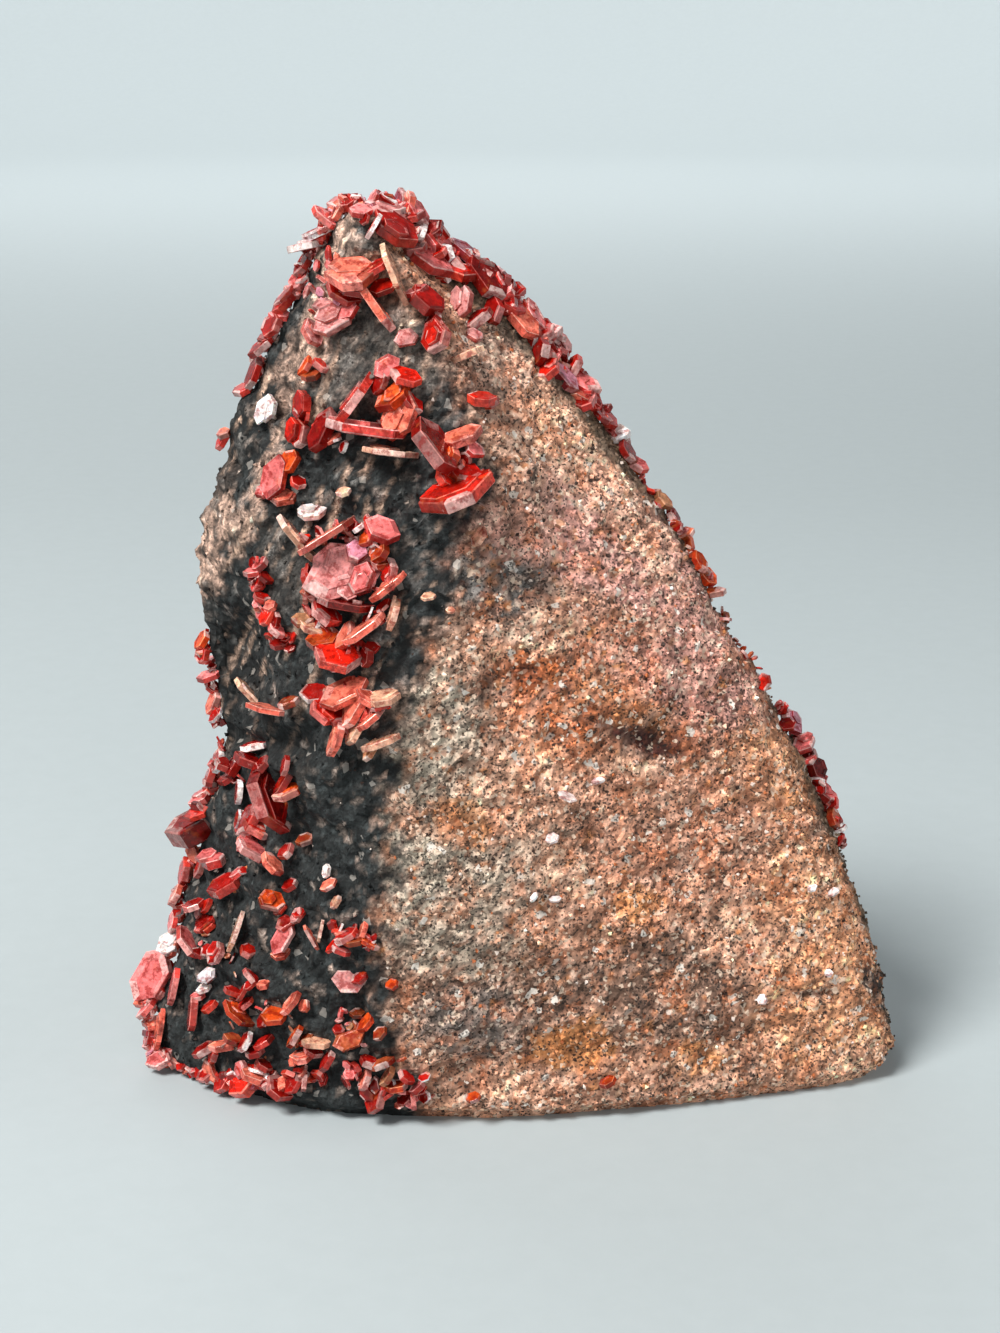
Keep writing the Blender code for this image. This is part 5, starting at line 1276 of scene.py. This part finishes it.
FRONT_BANDS = [
    (30, 0.7, 0.9, 1.7, RED_COATS, ((-19.5, 43.5), (-21.0, 38.6), (-23.0, 34.0), (-25.7, 28.3))),
    (48, 1.2, 1.0, 2.1, PINK_COATS, ((-19.3, 43.8), (-16.0, 46.2), (-12.0, 46.5), (-8.4, 46.3))),
    (70, 1.5, 1.1, 2.3, RED_COATS, ((-9.0, 44.0), (-4.5, 41.2), (0.0, 38.2), (3.6, 34.6))),
    (46, 1.2, 1.0, 2.0, RED_COATS, ((3.6, 34.6), (6.0, 31.0), (8.7, 28.3), (10.2, 25.6))),
    (40, 0.4, 0.6, 1.3, DULL_COATS, ((10.2, 25.6), (14.0, 20.0), (17.0, 15.5), (20.8, 9.0))),
    (18, 0.3, 0.5, 0.9, DULL_COATS, ((20.8, 9.0), (24.0, 4.0), (28.2, -2.8))),
    (42, 0.6, 0.8, 1.6, RED_COATS, ((28.4, -3.2), (31.0, -8.5), (32.5, -13.0), (34.5, -18.0))),
    (26, 0.5, 0.8, 1.5, RED_COATS, ((-29.9, 3.6), (-30.5, -1.0), (-30.2, -4.5), (-29.6, -8.0))),
    (40, 0.8, 0.9, 1.8, RED_COATS, ((-30.4, -9.0), (-31.2, -12.5), (-32.3, -18.0), (-33.2, -26.0))),
    (34, 1.0, 1.0, 1.9, PINK_COATS, ((-35.2, -27.6), (-36.4, -31.0), (-36.9, -36.4), (-35.2, -39.4))),
    (50, 1.2, 1.0, 2.0, PINK_COATS, ((-35.2, -39.4), (-31.5, -41.2), (-27.0, -41.9), (-20.5, -41.6))),
    (30, 0.9, 0.8, 1.6, RED_COATS, ((-20.5, -40.6), (-14.0, -41.0), (-11.5, -42.6), (-7.0, -42.6))),
    (16, 1.5, 0.6, 1.2, RED_COATS, ((-29.4, -9.6), (-24.0, -10.4), (-24.4, -16.0), (-29.0, -20.0))),
    (16, 2.2, 0.5, 1.0, DULL_COATS, ((-30.0, -25.0), (-27.0, -31.0), (-25.0, -36.0), (-18.0, -38.0))),
    (22, 1.6, 0.7, 1.4, PINK_COATS, ((-17.6, 41.0), (-17.4, 36.0), (-17.0, 32.6))),
    (22, 1.2, 0.7, 1.5, RED_COATS, ((-20.0, 25.6), (-18.0, 22.8), (-11.0, 23.4), (-9.4, 28.6))),
    (16, 1.0, 0.7, 1.4, RED_COATS, ((-6.6, 22.4), (-4.2, 20.4), (-3.2, 18.0))),
    (38, 1.0, 0.7, 1.6, RED_COATS, ((-19.4, 12.6), (-13.0, 14.0), (-11.2, 8.0), (-14.0, 2.6))),
    (24, 0.9, 0.7, 1.5, RED_COATS, ((-18.6, 8.0), (-18.8, 4.4), (-16.4, 1.0), (-13.4, 1.4))),
    (24, 0.6, 0.8, 1.4, RED_COATS, ((-24.6, 10.6), (-23.9, 6.6), (-22.6, 3.6), (-21.2, 1.8))),
    (22, 1.1, 0.7, 1.5, RED_COATS, ((-18.6, -3.0), (-15.0, -3.4), (-12.2, -4.2), (-15.6, -6.8))),
    (20, 1.0, 0.6, 1.2, RED_COATS, ((-16.4, -26.4), (-14.0, -27.4), (-12.6, -27.6))),
    (18, 1.3, 0.5, 1.0, DULL_COATS, ((-15.2, -34.0), (-14.0, -38.6), (-11.0, -40.0), (-8.8, -41.2))),
]

BACK_BANDS = [
    (80, 2.6, 1.0, 2.2, RED_COATS, ((11.0, 44.0), (3.0, 38.0), (-3.0, 32.0), (-8.0, 24.0))),
    (60, 2.4, 0.9, 2.0, RED_COATS, ((-8.0, 24.0), (-14.0, 14.0), (-20.0, 4.0), (-27.0, -6.0))),
    (26, 1.8, 0.9, 1.8, PINK_COATS, ((-27.0, -6.0), (-30.0, -14.0), (-31.0, -20.0))),
    (34, 2.2, 0.9, 2.0, RED_COATS, ((20.0, 30.0), (19.6, 19.0), (24.0, 6.0), (27.0, -4.0))),
    (30, 2.0, 0.9, 1.9, PINK_COATS, ((6.0, 17.0), (4.0, 13.0), (2.0, 9.0))),
    (40, 1.6, 0.9, 1.9, RED_COATS, ((28.0, -14.0), (31.0, -26.0), (33.6, -38.0))),
]

DRUSE_SEED = 17
DRUSE_SCATTER = 0.6
DRUSE_THICKNESS = (0.24, 0.48)          # as a share of the width
DRUSE_TURN = (0, 180)
DRUSE_LEAN = (25, 88)


def along(line, share):
    """A point of a line of places, at a share of its length."""
    lengths = [math.dist(a, b) for a, b in zip(line, line[1:])]
    reach = share * sum(lengths)
    for (a, b), length in zip(zip(line, line[1:]), lengths):
        if reach <= length:
            break
        reach -= length
    part = min(reach / length, 1.0)
    return mix(a[0], b[0], part), mix(a[1], b[1], part)


def druse_tablets(bands, rng):
    """The tablets of the bands, drawn one at a time, so that growing them shares the draws."""
    for count, spread, smallest, largest, coats, line in bands:
        for _ in range(count):
            across, up = along(line, rng.random())
            across += rng.gauss(0.0, DRUSE_SCATTER) * spread
            up += rng.gauss(0.0, DRUSE_SCATTER) * spread
            width = rng.uniform(smallest, largest)
            thickness = width * rng.uniform(*DRUSE_THICKNESS)
            turn = rng.uniform(*DRUSE_TURN)
            lean = rng.uniform(*DRUSE_LEAN)
            yield across, up, width, thickness, turn, lean, rng.choice(coats)


# ------------------------------------------------------------------------------ grains of the rock

GRAIN_SEED = 5
GRAIN_COUNT = 22000
GRAIN_RADIUS = (0.12, 0.30)
GRAIN_SPARSE = 0.03                     # how thin the grains are spread on the coated face
GRAIN_SINK = 0.45                       # how deep a grain sits, as a share of its radius
GRAIN_SCATTER = 0.12
GRAIN_UNEVEN = (0.7, 1.3)               # a grain's corners against its radius
GRAIN_SHADES = 0.36                     # how much grains of one ground differ in brightness
GRAIN_KINDS = (                         # share of the grains and their colour; the rest match the ground
    (0.040, linear(226, 208, 196)),
    (0.030, linear(184, 106, 66)),
    (0.110, linear(60, 46, 40)),
)
COATED_KINDS = 0.12                     # how common those are on the coated face
OCTAHEDRON = ((1, 0, 0), (-1, 0, 0), (0, 1, 0), (0, -1, 0), (0, 0, 1), (0, 0, -1))
OCTAHEDRON_FACES = ((0, 2, 4), (2, 1, 4), (1, 3, 4), (3, 0, 4), (2, 0, 5), (1, 2, 5), (3, 1, 5), (0, 3, 5))


def vertex_values(source, name, count, size):
    """Read one number or vector of each vertex into an array."""
    values = np.empty(count * size)
    source.foreach_get(name, values)
    return values.reshape(count, size)


def build_grains(rock):
    """Small angular grains all over the rock, half sunk in it."""
    rng = np.random.default_rng(GRAIN_SEED)
    mesh = rock.data
    count = len(mesh.vertices)
    places = vertex_values(mesh.vertices, "co", count, 3)
    normals = vertex_values(mesh.vertex_normals, "vector", count, 3)
    ground = vertex_values(mesh.attributes["ground"].data, "color", count, 4)[:, :3]
    broken = vertex_values(mesh.attributes["grain"].data, "value", count, 1)[:, 0]

    usable = np.flatnonzero(places[:, 2] > 2 * max(GRAIN_RADIUS))
    chance = mix(GRAIN_SPARSE, 1, broken[usable])
    picks = rng.choice(usable, GRAIN_COUNT, p=chance / chance.sum())
    radius = rng.uniform(*GRAIN_RADIUS, (GRAIN_COUNT, 1))
    centres = places[picks] - GRAIN_SINK * radius * normals[picks]
    centres = centres + rng.normal(0.0, GRAIN_SCATTER, (GRAIN_COUNT, 3))
    shape = np.array(OCTAHEDRON, float)[None] * rng.uniform(*GRAIN_UNEVEN, (GRAIN_COUNT, 6, 1))
    axes = np.linalg.qr(rng.normal(size=(GRAIN_COUNT, 3, 3)))[0]
    points = centres[:, None] + radius[:, None] * np.einsum("gij,gkj->gki", axes, shape)

    colours = ground[picks] * np.exp(rng.normal(0.0, GRAIN_SHADES, (GRAIN_COUNT, 1)))
    draw = rng.random(GRAIN_COUNT)
    floor = 0.0
    for share, colour in GRAIN_KINDS:
        chosen = (draw >= floor) & (draw < floor + share * mix(COATED_KINDS, 1, broken[picks]))
        colours[chosen] = colour
        floor += share

    faces = np.array(OCTAHEDRON_FACES)[None] + 6 * np.arange(GRAIN_COUNT)[:, None, None]
    grains = bpy.data.meshes.new("matrix_grains")
    grains.from_pydata(points.reshape(-1, 3).tolist(), [], faces.reshape(-1, 3).tolist())
    values = np.ones((GRAIN_COUNT * 6, 4), np.float32)
    values[:, :3] = np.repeat(np.clip(colours, 0.0, 1.0), 6, axis=0)
    grains.attributes.new("coat", "FLOAT_COLOR", "POINT").data.foreach_set("color", values.ravel())
    grains.transform(Matrix.Scale(MM, 4))
    return bpy.data.objects.new("matrix_grains", grains)


# ------------------------------------------------------------------------------ backdrop and light

FLOOR_RADIUS = 1.1                      # metres; level out to here, then the sweep curves up
SWEEP_RADIUS = 0.5
WALL_HEIGHT = 1.7
SWEEP_STEPS = 16
ROUND_STEPS = 96
WELD = 0.0001

MIDDLE = (0.0, 0.0, 0.045)
WHITE = (1.0, 1.0, 1.0)
# Soft boxes: (name, place, target, size in metres, watts, colour)
LIGHTS = [
    ("key_light", (-0.42, -0.30, 0.72), MIDDLE, (0.28, 0.28), 11.4, (1.0, 0.99, 0.97)),
    ("front_light", (0.25, -0.8, 0.35), MIDDLE, (0.8, 0.6), 2.1, WHITE),
    ("right_light", (0.7, -0.1, 0.45), MIDDLE, (0.5, 0.5), 1.5, (0.97, 0.99, 1.0)),
    ("back_light", (-0.3, 0.6, 0.7), MIDDLE, (0.7, 0.4), 2.0, WHITE),
    ("wall_light", (0.0, 0.8, 0.7), (0.0, 1.5, 0.15), (1.8, 0.3), 14.0, WHITE),
]
WORLD_COLOUR = linear(226, 232, 236)
WORLD_STRENGTH = 0.15

SENSOR_LENGTH = 36.0
PICTURE_HEIGHT = 133.3                  # mm of the picture plane that the upright image shows
CLIP = (0.01, 10.0)


def build_backdrop():
    """A seamless round stage: level floor, quarter-circle sweep and upright wall."""
    profile = [(0.0, 0.0), (FLOOR_RADIUS, 0.0)]
    for step in range(1, SWEEP_STEPS + 1):
        angle = math.radians(90) * step / SWEEP_STEPS
        out = FLOOR_RADIUS + SWEEP_RADIUS * math.sin(angle)
        profile.append((out, SWEEP_RADIUS * (1 - math.cos(angle))))
    profile.append((FLOOR_RADIUS + SWEEP_RADIUS, WALL_HEIGHT))
    shape = bmesh.new()
    for (near, low), (far, high) in zip(profile, profile[1:]):
        for step in range(ROUND_STEPS):
            corners = []
            for turn, out, z in ((step, near, low), (step, far, high), (step + 1, far, high),
                                 (step + 1, near, low)):
                angle = math.tau * turn / ROUND_STEPS
                corners.append(shape.verts.new((out * math.cos(angle), out * math.sin(angle), z)))
            shape.faces.new(reversed(corners))
    bmesh.ops.remove_doubles(shape, verts=shape.verts, dist=WELD)
    mesh = bpy.data.meshes.new("backdrop")
    shape.to_mesh(mesh)
    shape.free()
    mesh.shade_smooth()
    return bpy.data.objects.new("backdrop", mesh)


def link(thing):
    bpy.context.scene.collection.objects.link(thing)


def add_light(name, place, target, size, power, colour):
    """A soft box that faces its target."""
    lamp = bpy.data.lights.new(name, "AREA")
    lamp.shape = "RECTANGLE"
    lamp.size, lamp.size_y = size
    lamp.energy = power
    lamp.color = colour
    holder = bpy.data.objects.new(name, lamp)
    holder.location = place
    holder.rotation_euler = (Vector(target) - Vector(place)).to_track_quat("-Z", "Y").to_euler()
    link(holder)


def light_world():
    world = bpy.data.worlds.new("studio")
    world.use_nodes = True
    background = world.node_tree.nodes["Background"]
    background.inputs["Color"].default_value = (*WORLD_COLOUR, 1.0)
    background.inputs["Strength"].default_value = WORLD_STRENGTH
    bpy.context.scene.world = world
    bpy.context.scene.view_settings.view_transform = "Standard"


def add_camera():
    """A camera at the front sight's eye, square to its picture plane, with the image upright."""
    data = bpy.data.cameras.new("camera")
    data.sensor_fit = "VERTICAL"
    data.sensor_height = SENSOR_LENGTH
    data.lens = SENSOR_LENGTH * SIGHT_DISTANCE / PICTURE_HEIGHT
    data.clip_start, data.clip_end = CLIP
    holder = bpy.data.objects.new("camera", data)
    turned = Matrix((FRONT.across, FRONT.up, FRONT.towards)).transposed().to_4x4()
    holder.matrix_world = Matrix.Translation(FRONT.eye * MM) @ turned
    link(holder)
    bpy.context.scene.camera = holder


# ---------------------------------------------------------------------------------- put together

TABLET_SEED = 29
RED_FINISH = (0.14, 0.06)               # roughness, and how much light glows through
PALE_FINISH = (0.22, 0.2)
PALE_GROUPS = ("pale_hexagon", "cream_bar", "white_plate", "white_chip", "ledge_cream_bar", "thin_bar",
               "pale_disc", "grey_hexagon")


def place_piece(piece, material):
    """Link a piece, give it its material, and let it ride the body."""
    link(piece)
    piece.data.materials.clear()
    piece.data.materials.append(material)
    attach(piece, "root")


rock = build_rock_skin()
paint_rock(rock)
rock_tree = BVHTree.FromPolygons([vert.co for vert in rock.data.vertices],
                                 [tuple(face.vertices) for face in rock.data.polygons])
grains = build_grains(rock)
rock.data.transform(Matrix.Scale(MM, 4))
place_piece(rock, rock_material())
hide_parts("matrix")
place_piece(grains, grain_material())

red = crystal_material("vanadinite_red_skin", *RED_FINISH)
pale = crystal_material("vanadinite_pale_skin", *PALE_FINISH)
rng = random.Random(TABLET_SEED)
for sight, groups in ((FRONT, FRONT_GROUPS), (BACK, BACK_GROUPS)):
    for name, entries in groups.items():
        piece = build_crystals("crystals_" + name, entries, sight, rock_tree, rng)
        if name in PALE_GROUPS:
            place_piece(piece, pale)
        else:
            place_piece(piece, red)
        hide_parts(name)
place_piece(build_crystals("loose_crystals", LOOSE_CRYSTALS, FRONT, rock_tree, rng), red)

rng = random.Random(DRUSE_SEED)
for name, bands, sight in (("druse_front", FRONT_BANDS, FRONT), ("druse_back", BACK_BANDS, BACK)):
    piece = build_crystals(name, druse_tablets(bands, rng), sight, rock_tree, rng)
    place_piece(piece, red)

backdrop = build_backdrop()
link(backdrop)
backdrop.data.materials.append(backdrop_material())
for light in LIGHTS:
    add_light(*light)
light_world()
add_camera()
